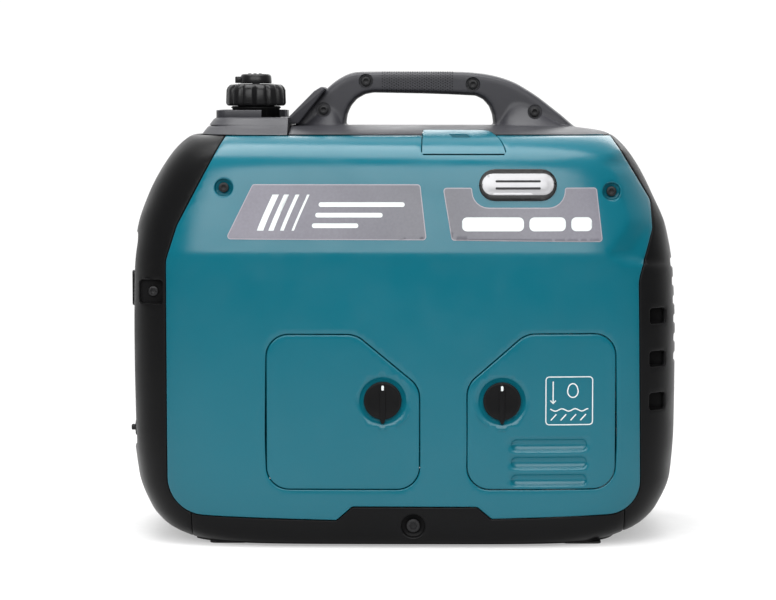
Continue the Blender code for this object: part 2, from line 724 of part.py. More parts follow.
def make_lid():
    """The spark plug lid, cut out of the shoulder and the handle moulding's edge."""
    lid_region = prism("leaf_lid", inset(rounded(LID), DOOR_GAP), "Z", LID_LOWEST, 0.4)
    lid = shell_piece("spark_plug_lid", TEAL, lid_region)
    opening = prism("opening_lid", rounded(LID), "Z", LID_LOWEST - DOOR_GAP, 0.383)
    cut(service_side_cover, opening)
    cut(handle_near_half, opening)
    slot = ((0.0425, -0.1000), (0.0600, -0.1000), (0.0640, -0.0930), (0.0465, -0.0930))
    cut(lid, prism("cut_pry_slot", slot, "Z", 0.3715, 0.4))
    return lid


spark_plug_lid = make_lid()


# ---------------------------------------------------------------- fuel cap
def make_fuel_cap():
    """The cap: a fluted grip round a hollow skirt, with a vent knob seat on top."""
    x, y = CAP_CENTRE
    height = CAP_TOP_Z - CAP_BOTTOM_Z
    profile = [(0, height), (CAP_RADIUS - 0.0040, height), (CAP_RADIUS - 0.0010, height - 0.003),
               (CAP_RADIUS, 0.0015), (CAP_RADIUS - 0.0015, 0), (0, 0)]
    cap = turned("fuel_cap", profile, (x, y, CAP_BOTTOM_Z), (0, 0, 1), BLACK, 28)
    for k in range(CAP_FLUTES):
        angle = 2 * math.pi * (k + 0.5) / CAP_FLUTES
        reach = CAP_RADIUS + 0.0022
        at = (x + reach * math.cos(angle), y + reach * math.sin(angle))
        cut(cap, cylinder(f"flute_{k}", 0.0042, (*at, CAP_BOTTOM_Z - 0.01),
                          (*at, CAP_TOP_Z - 0.0035), steps=6))
    bore = [(0, CAP_TOP_Z - 0.0030), (0.0226, CAP_TOP_Z - 0.0030), (0.0226, CAP_BOTTOM_Z - 0.01),
            (0, CAP_BOTTOM_Z - 0.01)]
    cut(cap, turned("cut_cap_bore", bore, (x, y, 0), (0, 0, 1), steps=24))
    cut(cap, cylinder("cut_vent_hole", 0.0042, (x, y, 0.40), (x, y, 0.44), steps=12))
    return pivot(cap, (x, y, CAP_BOTTOM_Z))


CAP_FLUTES = 14
fuel_cap = make_fuel_cap()


def make_vent_knob():
    """The vent knob with its pointer tab and the stem that turns in the cap."""
    x, y = CAP_CENTRE
    low = CAP_TOP_Z + GAP
    profile = [(0, 0.0090), (0.0125, 0.0090), (0.0145, 0.0070), (0.0150, 0), (0.0036, 0),
               (0.0036, -0.0040), (0, -0.0040)]
    knob = turned("vent_knob", profile, (x, y, low), (0, 0, 1), BLACK, 24)
    tab = box("tab_vent", (x - 0.0200, y - 0.0035, low), (x - 0.0100, y + 0.0035, low + 0.0060))
    join(knob, tab)
    return pivot(knob, (x, y, low))


vent_knob = make_vent_knob()


def make_cap_core():
    """The cap's inner body that seals on the neck and lifts out with it."""
    x, y = CAP_CENTRE
    profile = [(0, CAP_TOP_Z - 0.0078), (0.0223, CAP_TOP_Z - 0.0078), (0.0223, CAP_BOTTOM_Z + GAP),
               (0.0175, CAP_BOTTOM_Z + GAP), (0.0175, CAP_BOTTOM_Z - 0.0100),
               (0, CAP_BOTTOM_Z - 0.0100)]
    core = turned("fuel_cap_core", profile, (x, y, 0), (0, 0, 1), RUBBER, 24)
    return pivot(core, (x, y, CAP_BOTTOM_Z))


fuel_cap_core = make_cap_core()

# ---------------------------------------------------------------- fuel tank
TANK_TOP_Z = 0.3700


def make_fuel_tank():
    """The hollow tank under the deck, with its neck open at the top."""
    x, y = CAP_CENTRE
    outline = rounded(((-0.2050, -0.0950, 0.03), (-0.0500, -0.0950, 0.03),
                       (-0.0500, 0.0950, 0.03), (-0.2050, 0.0950, 0.03)))
    tank = prism("fuel_tank", outline, "Z", 0.3000, TANK_TOP_Z - 0.012, BLACK)
    upper = inset(outline, 0.020)
    join(tank, prism("tank_upper", upper, "Z", 0.3500, TANK_TOP_Z))
    neck_top = CAP_BOTTOM_Z - GAP
    join(tank, cylinder("tank_neck", NECK_RADIUS, (x, y, 0.36), (x, y, neck_top)))
    cut(tank, prism("cut_tank_inside", inset(outline, 0.0030), "Z", 0.3030, TANK_TOP_Z - 0.015))
    cut(tank, cylinder("cut_neck_bore", NECK_RADIUS - 0.0035, (x, y, 0.33), (x, y, 0.41)))
    return tank


fuel_tank = make_fuel_tank()

# ---------------------------------------------------------------- control panel
def panel_x(depth):
    """A place behind (negative: in front of) the control panel's face."""
    return CONTROL_FACE_X + depth


def make_control_panel():
    """The plate in the front frame's opening, pierced for everything it carries."""
    corners = [(y, z, CONTROL_CORNER) for y, z in CONTROL_OPENING]
    outline = inset(rounded(corners), 0.0005)
    panel = prism("control_panel", outline, "X", panel_x(0), panel_x(CONTROL_THICKNESS), BLACK)
    for name, y in SOCKETS.items():
        cut(panel, box(f"cut_socket_{name}", (-FAR, y - SOCKET_HALF, SOCKET_Z - SOCKET_HALF),
                       (-0.2, y + SOCKET_HALF, SOCKET_Z + SOCKET_HALF)))
    for name, y, z, radius in PANEL_HOLES:
        cut(panel, cylinder("cut_" + name, radius, (-0.26, y, z), (-0.22, y, z), steps=16))
    cut(panel, box("cut_eco", (-FAR, ECO[0] - 0.0075, ECO[1] - 0.0110),
                   (-0.2, ECO[0] + 0.0075, ECO[1] + 0.0110)))
    return panel


DIAL = (-0.048, 0.232)
ECO = (0.0, 0.240)
BREAKER = (0.030, 0.244)
RESET = (0.030, 0.222)
DC = (0.060, 0.232)
GROUND = (-0.062, 0.102)
DIAL_SHAFT = 0.0045
BUTTON_RADIUS = 0.0055
PANEL_HOLES = (
    ("dial", *DIAL, DIAL_SHAFT + 0.0006), ("breaker", *BREAKER, BUTTON_RADIUS + 0.0003),
    ("reset", *RESET, BUTTON_RADIUS + 0.0003), ("dc", *DC, 0.0133), ("ground", *GROUND, 0.0033),
)
control_panel = make_control_panel()


def make_socket(name, y):
    """An earthed mains socket: a square body with a round recess for the plug."""
    half = SOCKET_HALF - GAP
    body = box(name, (panel_x(-0.0022), y - half, SOCKET_Z - half),
               (panel_x(0.0300), y + half, SOCKET_Z + half), BLACK)
    radius, depth = SOCKET_RECESS
    cut(body, cylinder("recess_" + name, radius, (panel_x(-0.02), y, SOCKET_Z),
                       (panel_x(depth - 0.0022), y, SOCKET_Z)))
    for side in (-1, 1):
        cut(body, cylinder(f"pin_{name}_{side}", 0.0027, (panel_x(0.01), y + side * 0.0095,
                                                          SOCKET_Z),
                           (panel_x(0.0270), y + side * 0.0095, SOCKET_Z), steps=10))
    return body


def make_socket_lid(name, y):
    """A sprung lid over a socket, hung on a pin along its top edge."""
    half = SOCKET_HALF - 0.0006
    low, high = panel_x(-0.0062), panel_x(-0.0027)
    lid = box(name, (low, y - half, SOCKET_Z - half), (high, y + half, SOCKET_Z + half + 0.0010),
              BLACK, 0.0008)
    knuckle = cylinder("knuckle_" + name, 0.0022, (LID_PIN_X, y - half + 0.004, LID_PIN_Z),
                       (LID_PIN_X, y + half - 0.004, LID_PIN_Z), steps=12)
    join(lid, knuckle)
    lip = box("lip_" + name, (low - 0.0030, y - 0.0120, SOCKET_Z - half),
              (low + 0.0010, y + 0.0120, SOCKET_Z - half + 0.0030))
    join(lid, lip)
    return pivot(lid, (LID_PIN_X, y, LID_PIN_Z))


LID_PIN_X = panel_x(-0.0045)
LID_PIN_Z = SOCKET_Z + SOCKET_HALF + 0.0018
for letter, across in SOCKETS.items():
    make_socket("socket_" + letter, across)
    make_socket_lid("socket_lid_" + letter, across)


def make_dial():
    """The engine switch: a round knob with a grip bar and a shaft through the panel."""
    y, z = DIAL
    profile = [(0, 0.0100), (0.0150, 0.0100), (0.0185, 0.0070), (0.0210, 0.0004),
               (DIAL_SHAFT, 0.0004), (DIAL_SHAFT, -0.0120), (0, -0.0120)]
    dial = turned("engine_switch_dial", profile, (panel_x(0), y, z), (-1, 0, 0), RED, 28)
    bar = box("bar_dial", (panel_x(-0.0150), y - 0.0035, z - 0.0175),
              (panel_x(-0.0090), y + 0.0035, z + 0.0175), None, 0.001)
    join(dial, bar)
    return pivot(dial, (panel_x(0), y, z))


engine_switch_dial = make_dial()


def make_eco_switch():
    """The economy rocker, which tips on a pin behind the panel's face."""
    y, z = ECO
    profile = rounded(((panel_x(-0.0030), z + 0.0100, 0.0008), (panel_x(-0.0008), z, 0.004),
                       (panel_x(-0.0016), z - 0.0100, 0.0008), (panel_x(0.0090), z - 0.0060, 0.001),
                       (panel_x(0.0090), z + 0.0060, 0.001)), 2)
    rocker = prism("eco_switch", profile, "Y", y - 0.0070, y + 0.0070, BLACK)
    return pivot(rocker, (panel_x(0.0040), y, z))


eco_switch = make_eco_switch()


def make_button(name, place, paint):
    """A sprung push button with its collar behind the panel."""
    y, z = place
    profile = [(0, 0.0055), (BUTTON_RADIUS - 0.001, 0.0055), (BUTTON_RADIUS, 0.0045),
               (BUTTON_RADIUS, -0.0080), (0, -0.0080)]
    button = turned(name, profile, (panel_x(0), y, z), (-1, 0, 0), paint, 16)
    return pivot(button, (panel_x(0), y, z))


dc_breaker_button = make_button("dc_breaker_button", BREAKER, PALE)
ac_reset_button = make_button("ac_reset_button", RESET, GREEN)


def make_dc_socket():
    y, z = DC
    profile = [(0, 0.0020), (0.0155, 0.0020), (0.0155, 0.0004), (0.0130, 0.0004),
               (0.0130, -0.0260), (0, -0.0260)]
    body = turned("dc_socket", profile, (panel_x(0), y, z), (-1, 0, 0), BLACK, 20)
    cut(body, cylinder("bore_dc", 0.0105, (panel_x(-0.01), y, z), (panel_x(0.0220), y, z),
                       steps=20))
    return body


dc_socket = make_dc_socket()


def make_ground_terminal():
    """The earth stud through the panel, and the knurled nut that turns on it."""
    y, z = GROUND
    stud = cylinder("ground_stud", 0.0030, (panel_x(-0.0150), y, z), (panel_x(0.0120), y, z),
                    STEEL, 12)
    nut = ring("ground_nut", 0.0075, 0.0033, (panel_x(-0.0110), y, z), (panel_x(-0.0010), y, z),
               STEEL, 12)
    return stud, pivot(nut, (panel_x(0), y, z))


ground_stud, ground_nut = make_ground_terminal()
status_display = box("status_display", (panel_x(-0.0020), 0.0180, 0.2620),
                     (panel_x(-GAP), 0.0700, 0.2740), PALE, 0.0005)
inverter_module = box("inverter_module", (-0.2060, -0.0800, 0.0200), (-0.1460, 0.0800, 0.0750),
                      ALUMINIUM)
for k in range(7):
    across = -0.0720 + k * 0.0240
    cut(inverter_module, box(f"cut_fin_{k}", (-0.3, across - 0.0050, 0.0500),
                             (0.0, across + 0.0050, 0.1)))


# ---------------------------------------------------------------- engine
def along_x(start, end):
    return (start, 0.0, CRANK_Z), (end, 0.0, CRANK_Z)


crankshaft = cylinder("crankshaft", 0.0080, *along_x(-0.0630, 0.0900), STEEL, 16)
join(crankshaft, cylinder("crank_journal", 0.0120, *along_x(0.0350, 0.0800), steps=16))
pivot(crankshaft, (0.0, 0.0, CRANK_Z))

fan = cylinder("fan", 0.0700, *along_x(-0.0280, -0.0245), BLACK, 28)
join(fan, cylinder("fan_hub", 0.0200, *along_x(-0.0310, -0.0120)))
for k in range(8):
    blade = box(f"blade_{k}", (-0.0430, 0.0340, -0.0014), (-0.0260, 0.0660, 0.0014))
    blade.matrix_world = (Matrix.Translation((0, 0, CRANK_Z))
                          @ Matrix.Rotation(math.radians(45 * k + 10), 4, "X")
                          @ Matrix.Rotation(math.radians(20), 4, "Y"))
    join(fan, blade)
cut(fan, cylinder("fan_bore", 0.0080 + GAP, *along_x(-0.1, 0.1), steps=16))
pivot(fan, (0.0, 0.0, CRANK_Z))

rotor = cylinder("flywheel_rotor", 0.0600, *along_x(-0.0110, 0.0290), STEEL, 28)
cut(rotor, cylinder("rotor_hollow", 0.0540, *along_x(-0.0070, 0.0500), steps=28))
cut(rotor, cylinder("rotor_bore", 0.0080 + GAP, *along_x(-0.1, 0.1), steps=16))
pivot(rotor, (0.0, 0.0, CRANK_Z))

stator = cylinder("stator", 0.0510, *along_x(-0.0030, 0.0357), COPPER, 24)
cut(stator, cylinder("stator_bore", 0.0160, *along_x(-0.1, 0.1), steps=20))
for k in range(12):
    angle = 2 * math.pi * k / 12
    reach = (0.0400 * math.cos(angle), CRANK_Z + 0.0400 * math.sin(angle))
    cut(stator, cylinder(f"stator_slot_{k}", 0.0052, (-0.1, *reach), (0.1, *reach), steps=6))


def make_crankcase():
    """The crankcase on its four legs, bored for the crankshaft, with the oil filler neck."""
    case = box("crankcase", (0.0360, -0.0620, 0.0850), (0.1380, 0.0620, CASE_TOP_Z), ALUMINIUM,
               0.010)
    for x in (0.0450, 0.1160):
        for y in (-0.0560, 0.0360):
            join(case, box(f"leg_{x}_{y}", (x, y, TRAY_FLOOR_Z + GAP), (x + 0.0160, y + 0.0200,
                                                                       0.1000)))
    join(case, cylinder("oil_neck", 0.0130, oil_point(-0.020), oil_point(0), steps=20))
    cut(case, cylinder("oil_bore", 0.0078, oil_point(-0.030), oil_point(0.01), steps=16))
    cut(case, cylinder("main_bore", 0.0123, *along_x(0.0, 0.0950), steps=20))
    return case


CASE_TOP_Z = 0.1950
TRAY_FLOOR_Z = FOOT_HEIGHT + WALL
OIL_MOUTH = Vector((0.1120, -0.0830, 0.1210))
OIL_WAY = Vector((0.0, -0.8, 0.6))


def oil_point(along):
    """A place on the oil filler's axis, measured out from its mouth."""
    return OIL_MOUTH + OIL_WAY * along


crankcase = make_crankcase()

profile = [(0, 0.0105), (0.0120, 0.0105), (0.0155, 0.0080), (0.0155, GAP), (0.0070, GAP),
           (0.0070, -0.0220), (0, -0.0220)]
oil_filler_cap = turned("oil_filler_cap", profile, OIL_MOUTH, OIL_WAY, BLACK, 20)
grip_bar = box("oil_cap_bar", (-0.0025, -0.0130, 0.0090), (0.0025, 0.0130, 0.0170))
grip_bar.matrix_world = (Matrix.Translation(OIL_MOUTH)
                         @ Vector((0, 0, 1)).rotation_difference(OIL_WAY).to_matrix().to_4x4())
join(oil_filler_cap, grip_bar)
pivot(oil_filler_cap, OIL_MOUTH)

BORE_FOOT = Vector((0.0720, -0.0050, 0.1850))
BORE_WAY = Vector((0.0, -0.5, math.sqrt(0.75)))
HEAD_LENGTH = 0.1020


def along_bore(distance):
    return BORE_FOOT + BORE_WAY * distance


def make_finned_cylinder():
    """The cylinder and its head, finned for cooling, leaning towards the lid."""
    slices = []
    for low, high, half in bore_sections():
        outline = rounded(((-half, -half, 0.008), (half, -half, 0.008), (half, half, 0.008),
                           (-half, half, 0.008)), 1)
        for height in (low, high):
            slices.append([(a, b, height) for a, b in outline])
    block = loft("finned_cylinder", slices, ALUMINIUM)
    turn = Vector((0, 0, 1)).rotation_difference(BORE_WAY).to_matrix().to_4x4()
    block.data.transform(Matrix.Translation(BORE_FOOT) @ turn)
    cut(block, box("cut_cylinder_foot", (-FAR, -FAR, 0.0), (FAR, FAR, CASE_TOP_Z + GAP)))
    return block


def bore_sections():
    """(low, high, half width) of the block's steps, core and fin in turn."""
    sections = [(0.0, 0.0280, 0.0260)]
    for k in range(8):
        low = 0.0280 + k * 0.0085
        sections.append((low + 0.0002, low + 0.0026, 0.0350))
        sections.append((low + 0.0028, low + 0.0083, 0.0260))
    sections.append((0.0964, HEAD_LENGTH, 0.0300))
    return sections


finned_cylinder = make_finned_cylinder()

profile = [(0, 0.0290), (0.0030, 0.0290), (0.0045, 0.0170), (0.0045, 0.0130), (0.0095, 0.0120),
           (0.0095, 0.0040), (0.0070, 0.0030), (0.0070, GAP), (0, GAP)]
spark_plug = turned("spark_plug", profile, along_bore(HEAD_LENGTH), BORE_WAY, PALE, 12)
profile = [(0, 0.0420), (0.0060, 0.0420), (0.0080, 0.0400), (0.0090, 0.0160), (0.0055, 0.0160),
           (0.0055, 0.0300), (0, 0.0300)]
plug_boot = turned("plug_boot", profile, along_bore(HEAD_LENGTH), BORE_WAY, RUBBER, 16)


def make_carburetor():
    """The carburettor: a throat across to the cylinder over a round float bowl."""
    body = box("carburetor", (0.0020, -0.0990, 0.2120), (0.0290, -0.0690, 0.2400), ALUMINIUM,
               0.003)
    join(body, cylinder("bowl", 0.0135, (0.0155, -0.0840, 0.1960), (0.0155, -0.0840, 0.2140),
                        steps=20, chamfer=0.002))
    join(body, cylinder("throat", 0.0100, (0.0200, -0.0840, 0.2260), (0.0340, -0.0840, 0.2260),
                        steps=16))
    cut(body, cylinder("cut_throat", 0.0070, (-0.01, -0.0840, 0.2260), (0.0300, -0.0840, 0.2260),
                       steps=16))
    return body


carburetor = make_carburetor()


def make_air_filter_case():
    """An open tray behind the door, with the duct that rises to the carburettor."""
    case = box("air_filter_case", (-0.1120, -0.1240, 0.0640), (0.0020, -0.0820, 0.1860), BLACK,
               0.003)
    join(case, cylinder("duct", 0.0120, (-0.0160, -0.0960, 0.1800), (-0.0160, -0.0960, 0.2380),
                        steps=20))
    join(case, cylinder("duct_across", 0.0090, (-0.0160, -0.0940, 0.2260),
                        (0.0017, -0.0940, 0.2260), steps=16))
    cut(case, box("cut_tray", (-0.1095, -FAR, 0.0665), (-0.0005, -0.0845, 0.1835)))
    cut(case, cylinder("cut_duct", 0.0090, (-0.0160, -0.0960, 0.17), (-0.0160, -0.0960, 0.2350),
                       steps=16))
    cut(case, cylinder("cut_duct_across", 0.0065, (-0.0150, -0.0940, 0.2260),
                       (0.01, -0.0940, 0.2260), steps=16))
    return case


air_filter_case = make_air_filter_case()
filter_element = box("filter_element", (-0.1080, -0.1180, 0.0680), (-0.0020, -0.0950, 0.1750),
                     PAPER, 0.004)


def make_muffler():
    """The silencer with its tailpipe out of the rear cover and its header to the engine."""
    can = box("muffler", (0.1600, -0.0700, 0.1150), (0.2200, 0.0700, 0.2550), STEEL, 0.012)
    join(can, cylinder("tailpipe", TAIL_RADIUS, (0.2100, TAIL_Y, TAIL_Z),
                       (0.2530, TAIL_Y, TAIL_Z), steps=20))
    join(can, cylinder("header", 0.0120, (0.1120, -0.0330, 0.2350), (0.1700, -0.0330, 0.2350),
                       steps=16))
    cut(can, cylinder("cut_tail", TAIL_RADIUS - 0.0015, (0.1900, TAIL_Y, TAIL_Z),
                      (0.2700, TAIL_Y, TAIL_Z), steps=20))
    return can


muffler = make_muffler()


# ---------------------------------------------------------------- recoil starter
def make_recoil_housing():
    """The starter's cover and fan shroud, a cup open towards the engine."""
    profile = [(0.0110, 0.0), (0.0600, 0.0), (0.0760, -0.0160), (0.0790, -0.0200),
               (0.0790, -0.1020), (0.0765, -0.1020), (0.0765, -0.0210), (0.0740, -0.0180),
               (0.0590, -0.0025), (0.0110, -0.0025), (0.0110, 0.0)]
    housing = turned("recoil_housing", profile, (-0.0680, 0.0, CRANK_Z), (-1, 0, 0), BLACK, 24)
    cut(housing, box("cut_rope_exit", (REEL_X - 0.0045, 0.0300, ROPE_Z - 0.0045),
                     (REEL_X + 0.0045, 0.0900, ROPE_Z + 0.0045)))
    for k in range(5):
        angle = 2 * math.pi * (k + 0.37) / 5
        at = (0.0380 * math.cos(angle), CRANK_Z + 0.0380 * math.sin(angle))
        cut(housing, cylinder(f"inlet_{k}", 0.0110, (-0.08, *at), (-0.0640, *at), steps=10))
    return housing


recoil_housing = make_recoil_housing()

half = 0.0070
profile = [(0.0083, half), (0.0460, half), (0.0460, half - 0.002), (REEL_GROOVE_RADIUS, 0.0035),
           (REEL_GROOVE_RADIUS, -0.0035), (0.0460, 0.002 - half), (0.0460, -half),
           (0.0083, -half), (0.0083, half)]
recoil_reel = turned("recoil_reel", profile, (REEL_X, 0.0, CRANK_Z), (-1, 0, 0), PALE, 28)
pivot(recoil_reel, (REEL_X, 0.0, CRANK_Z))

low = Vector((REEL_X, POCKET_FLOOR_Y + 0.0035, ROPE_Z))
starter_grip = box("starter_grip", low - Vector((0.0310, 0, 0.0110)),
                   low + Vector((0.0310, 0.0230, 0.0110)), BLACK, 0.005)
pivot(starter_grip, low)


def make_rope():
    """The starter rope from the reel's top to the grip, as one straight cord."""
    path = bpy.data.curves.new("starter_rope", "CURVE")
    path.dimensions = "3D"
    path.bevel_depth = ROPE_RADIUS
    path.bevel_resolution = 2
    path.use_fill_caps = True
    spline = path.splines.new("POLY")
    spline.points.add(1)
    for point, y in zip(spline.points, (0.0020, low.y - GAP)):
        point.co = (REEL_X, y, ROPE_Z, 1)
    holder = bpy.data.objects.new("starter_rope", path)
    PARTS.objects.link(holder)
    path.materials.append(material(*ROPE))
    return holder


starter_rope = make_rope()


def finish_recoil_side_cover():
    """Adds the grip's pocket, its rope hole and the intake slots to the far panel."""
    wide, tall = POCKET_HALF
    cup = box("grip_cup", (REEL_X - wide - 0.0025, POCKET_FLOOR_Y - 0.0025, ROPE_Z - tall - 0.0025),
              (REEL_X + wide + 0.0025, FAR, ROPE_Z + tall + 0.0025))
    join(recoil_side_cover, keep(cup, just_inside))
    pocket = rounded(((REEL_X - wide, ROPE_Z - tall, 0.008), (REEL_X + wide, ROPE_Z - tall, 0.008),
                      (REEL_X + wide, ROPE_Z + tall, 0.008), (REEL_X - wide, ROPE_Z + tall, 0.008)))
    cut(recoil_side_cover, prism("cut_grip_pocket", pocket, "Y", POCKET_FLOOR_Y, FAR))
    cut(recoil_side_cover, cylinder("cut_rope_hole", 0.0045, (REEL_X, 0.1, ROPE_Z),
                                    (REEL_X, 0.13, ROPE_Z), steps=12))
    for k in range(7):
        z = 0.0700 + k * 0.0140
        cut(recoil_side_cover, box(f"cut_intake_{k}", (0.0500, 0.1, z), (0.1700, FAR, z + 0.0060)))


finish_recoil_side_cover()


# ---------------------------------------------------------------- screws
def screw(name, seat, side, head_radius, length):
    """A cap screw: its head's underside at the seat, its shank running inwards."""
    shank = 0.0022
    profile = [(0, 0.0030), (head_radius - 0.0008, 0.0030), (head_radius, 0.0022),
               (head_radius, GAP), (shank, GAP), (shank, -length), (0, -length)]
    made = turned(name, profile, seat, (0, side, 0), STEEL, 12)
    x, y, z = seat
    cut(made, prism("hex_" + name, circle((x, z), head_radius * 0.5, 6), "Y",
                    min(y + side * 0.0012, y + side * 0.01), max(y + side * 0.0012,
                                                                 y + side * 0.01)))
    return made


for name, x, z in HANDLE_SCREWS:
    screw(name, (x, HANDLE_RECESS - handle_face(x, z), z), -1, 0.0046, 0.0080)
for name, x, z in COVER_SCREWS:
    screw(name, (x, 0.0060 - side_y(x, z), z), -1, 0.0046, 0.0060)
screw("frame_screw", (-0.2290, -FRAME_SCREW_Y, 0.2330), -1, 0.0046, 0.0080)
x, z = BASE_SCREW
screw("base_screw", (x, 0.0065 - side_y(x, z), z), -1, 0.0062, 0.0060)
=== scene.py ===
"""Looks for the suitcase inverter generator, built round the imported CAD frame."""

import json
import math

import bmesh
import bpy
import numpy as np
from mathutils import Matrix, Vector
from mathutils.bvhtree import BVHTree
from mathutils.geometry import delaunay_2d_cdt


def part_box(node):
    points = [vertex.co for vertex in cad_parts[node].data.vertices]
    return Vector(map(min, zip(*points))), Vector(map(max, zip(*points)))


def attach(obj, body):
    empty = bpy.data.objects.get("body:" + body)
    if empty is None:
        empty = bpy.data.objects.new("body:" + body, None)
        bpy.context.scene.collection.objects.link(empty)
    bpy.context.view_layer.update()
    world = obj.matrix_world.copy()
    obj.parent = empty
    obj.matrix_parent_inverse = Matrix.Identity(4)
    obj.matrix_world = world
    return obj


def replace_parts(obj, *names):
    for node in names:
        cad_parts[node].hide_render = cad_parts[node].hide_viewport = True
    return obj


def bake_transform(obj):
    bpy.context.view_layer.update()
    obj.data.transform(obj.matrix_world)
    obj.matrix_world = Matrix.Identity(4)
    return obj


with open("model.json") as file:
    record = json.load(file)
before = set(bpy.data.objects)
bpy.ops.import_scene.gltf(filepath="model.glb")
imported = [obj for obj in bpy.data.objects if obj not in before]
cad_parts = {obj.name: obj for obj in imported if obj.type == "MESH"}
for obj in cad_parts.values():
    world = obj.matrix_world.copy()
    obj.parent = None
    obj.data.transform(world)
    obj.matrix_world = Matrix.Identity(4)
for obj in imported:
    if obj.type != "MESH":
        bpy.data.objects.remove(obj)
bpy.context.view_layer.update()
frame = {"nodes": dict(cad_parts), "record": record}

# ---------------------------------------------------------------- the housing's shape
HALF_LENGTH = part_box("rear_cover")[1].x
HALF_WIDTH = -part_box("service_side_cover")[0].y
FOOT_HEIGHT = 0.002
CREST_Z = 0.384
RIDGE_Z = 0.269
TOP_SEAM_Z = 0.3755
PLAN_POWER = 4.5
SEAM = 0.00035

LEFT_END = ((0.0, 0.190), (0.006, 0.209), (0.015, 0.225), (0.030, 0.2375), (0.060, 0.2490),
            (0.110, 0.2540), (0.190, HALF_LENGTH), (0.250, 0.2540), (0.290, 0.2490),
            (0.320, 0.2390), (0.350, 0.2230), (0.372, 0.2040), (0.378, 0.190), (CREST_Z, 0.130))
RIGHT_END = ((0.0, 0.190), (0.006, 0.205), (0.015, 0.224), (0.030, 0.2385), (0.060, 0.2510),
             (0.110, 0.2545), (0.190, HALF_LENGTH), (0.250, 0.2525), (0.290, 0.2460),
             (0.320, 0.2335), (0.350, 0.2180), (0.372, 0.2000), (0.378, 0.190), (CREST_Z, 0.150))
SIDE_LOW = ((0.0, 0.128), (0.006, 0.136), (0.015, 0.1400), (0.040, 0.1418), (0.140, 0.1433),
            (RIDGE_Z, HALF_WIDTH))
SIDE_HIGH = ((RIDGE_Z, HALF_WIDTH), (0.312, 0.1372), (0.345, 0.1312), (0.357, 0.1260),
             (0.366, 0.1165), (0.373, 0.1010), (0.378, 0.0780), (0.382, 0.0480), (CREST_Z, 0.025))
# (height, length) of the line past which the upper right corner is faceted
FACET_LINE = ((0.250, 0.260), (0.262, 0.200), (0.268, 0.186), (0.298, 0.2065), (0.325, 0.1985),
              (0.341, 0.1930), (0.351, 0.1790), (0.360, 0.200), (0.372, 0.250))
FACET_SLOPE = 0.42

PANEL_OUTLINE = (
    (-0.2168, 0.0290, 0.034), (-0.0600, 0.0252, 0.004), (-0.0457, 0.0378, 0.004),
    (0.0682, 0.0376, 0.004), (0.0813, 0.0266, 0.004), (0.2190, 0.0300, 0.030),
    (0.2160, 0.2450, 0.040), (0.2300, 0.2900, 0.014), (0.2290, 0.3160, 0.014),
    (0.1960, 0.3700, 0.010), (0.1930, TOP_SEAM_Z, 0.0), (-0.1640, TOP_SEAM_Z, 0.0),
    (-0.1760, 0.3520, 0.020), (-0.2065, 0.2940, 0.030), (-0.2168, 0.2620, 0.020),
)


def smooth_curve(knots):
    """A monotone cubic through (t, value) knots, as a function of t."""
    t = np.array([knot[0] for knot in knots])
    value = np.array([knot[1] for knot in knots])
    step = np.diff(t)
    rise = np.diff(value) / step
    slope = np.empty(len(t))
    slope[0], slope[-1] = rise[0], rise[-1]
    for i in range(1, len(t) - 1):
        same_way = rise[i - 1] * rise[i] > 0
        slope[i] = 2 * rise[i - 1] * rise[i] / (rise[i - 1] + rise[i]) if same_way else 0.0

    def at(x):
        x = np.asarray(x, dtype=float)
        i = np.clip(np.searchsorted(t, x) - 1, 0, len(step) - 1)
        s = (x - t[i]) / step[i]
        return ((1 + 2 * s) * (1 - s) ** 2 * value[i] + s * (1 - s) ** 2 * step[i] * slope[i]
                + s * s * (3 - 2 * s) * value[i + 1] + s * s * (s - 1) * step[i] * slope[i + 1])

    return at


left_end = smooth_curve(LEFT_END)
right_end = smooth_curve(RIGHT_END)
side_low = smooth_curve(SIDE_LOW)
side_high = smooth_curve(SIDE_HIGH)


def side_reach(z):
    """How far the long sides stand from the middle plane at a height."""
    z = np.asarray(z, dtype=float)
    return np.where(z <= RIDGE_Z, side_low(np.minimum(z, RIDGE_Z)),
                    side_high(np.maximum(z, RIDGE_Z)))


# arc length up the side, and round the plan, as tables to look up either way
HEIGHTS = np.linspace(0.0, CREST_Z, 4000)
REACHES = side_reach(HEIGHTS)
CLIMB = np.concatenate(([0], np.cumsum(np.hypot(np.diff(HEIGHTS), np.diff(REACHES)))))
ANGLES = np.linspace(math.pi, 0.0, 8001)
XI = np.sign(np.cos(ANGLES)) * np.abs(np.cos(ANGLES)) ** (2 / PLAN_POWER)
ETA = np.abs(np.sin(ANGLES)) ** (2 / PLAN_POWER)
AROUND = np.concatenate(([0], np.cumsum(np.hypot(np.diff(XI) * HALF_LENGTH,
                                                 np.diff(ETA) * HALF_WIDTH))))
PERIMETER = AROUND[-1]


def climb_of(z):
    """Arc length up the side of a height."""
    return np.interp(z, HEIGHTS, CLIMB)


def height_of(climb):
    """The height at an arc length up the side."""
    return np.interp(climb, CLIMB, HEIGHTS)


def around_of_x(x, z):
    """Arc length round the plan, from the left end's middle, of a place on a long side."""
    end = np.where(np.asarray(x) < 0, left_end(z), right_end(z))
    return np.interp(np.asarray(x) / end, XI, AROUND)


def around_of_y(y, z, right):
    """The same for a place on an end face, negative on the far side."""
    eta = np.abs(np.asarray(y)) / side_reach(z)
    quarter = len(ETA) // 2
    reach = np.interp(eta, ETA[:quarter + 1], AROUND[:quarter + 1])
    return np.where(np.asarray(y) > 0, -reach, reach) if not right else \
        PERIMETER - np.where(np.asarray(y) > 0, -reach, reach)


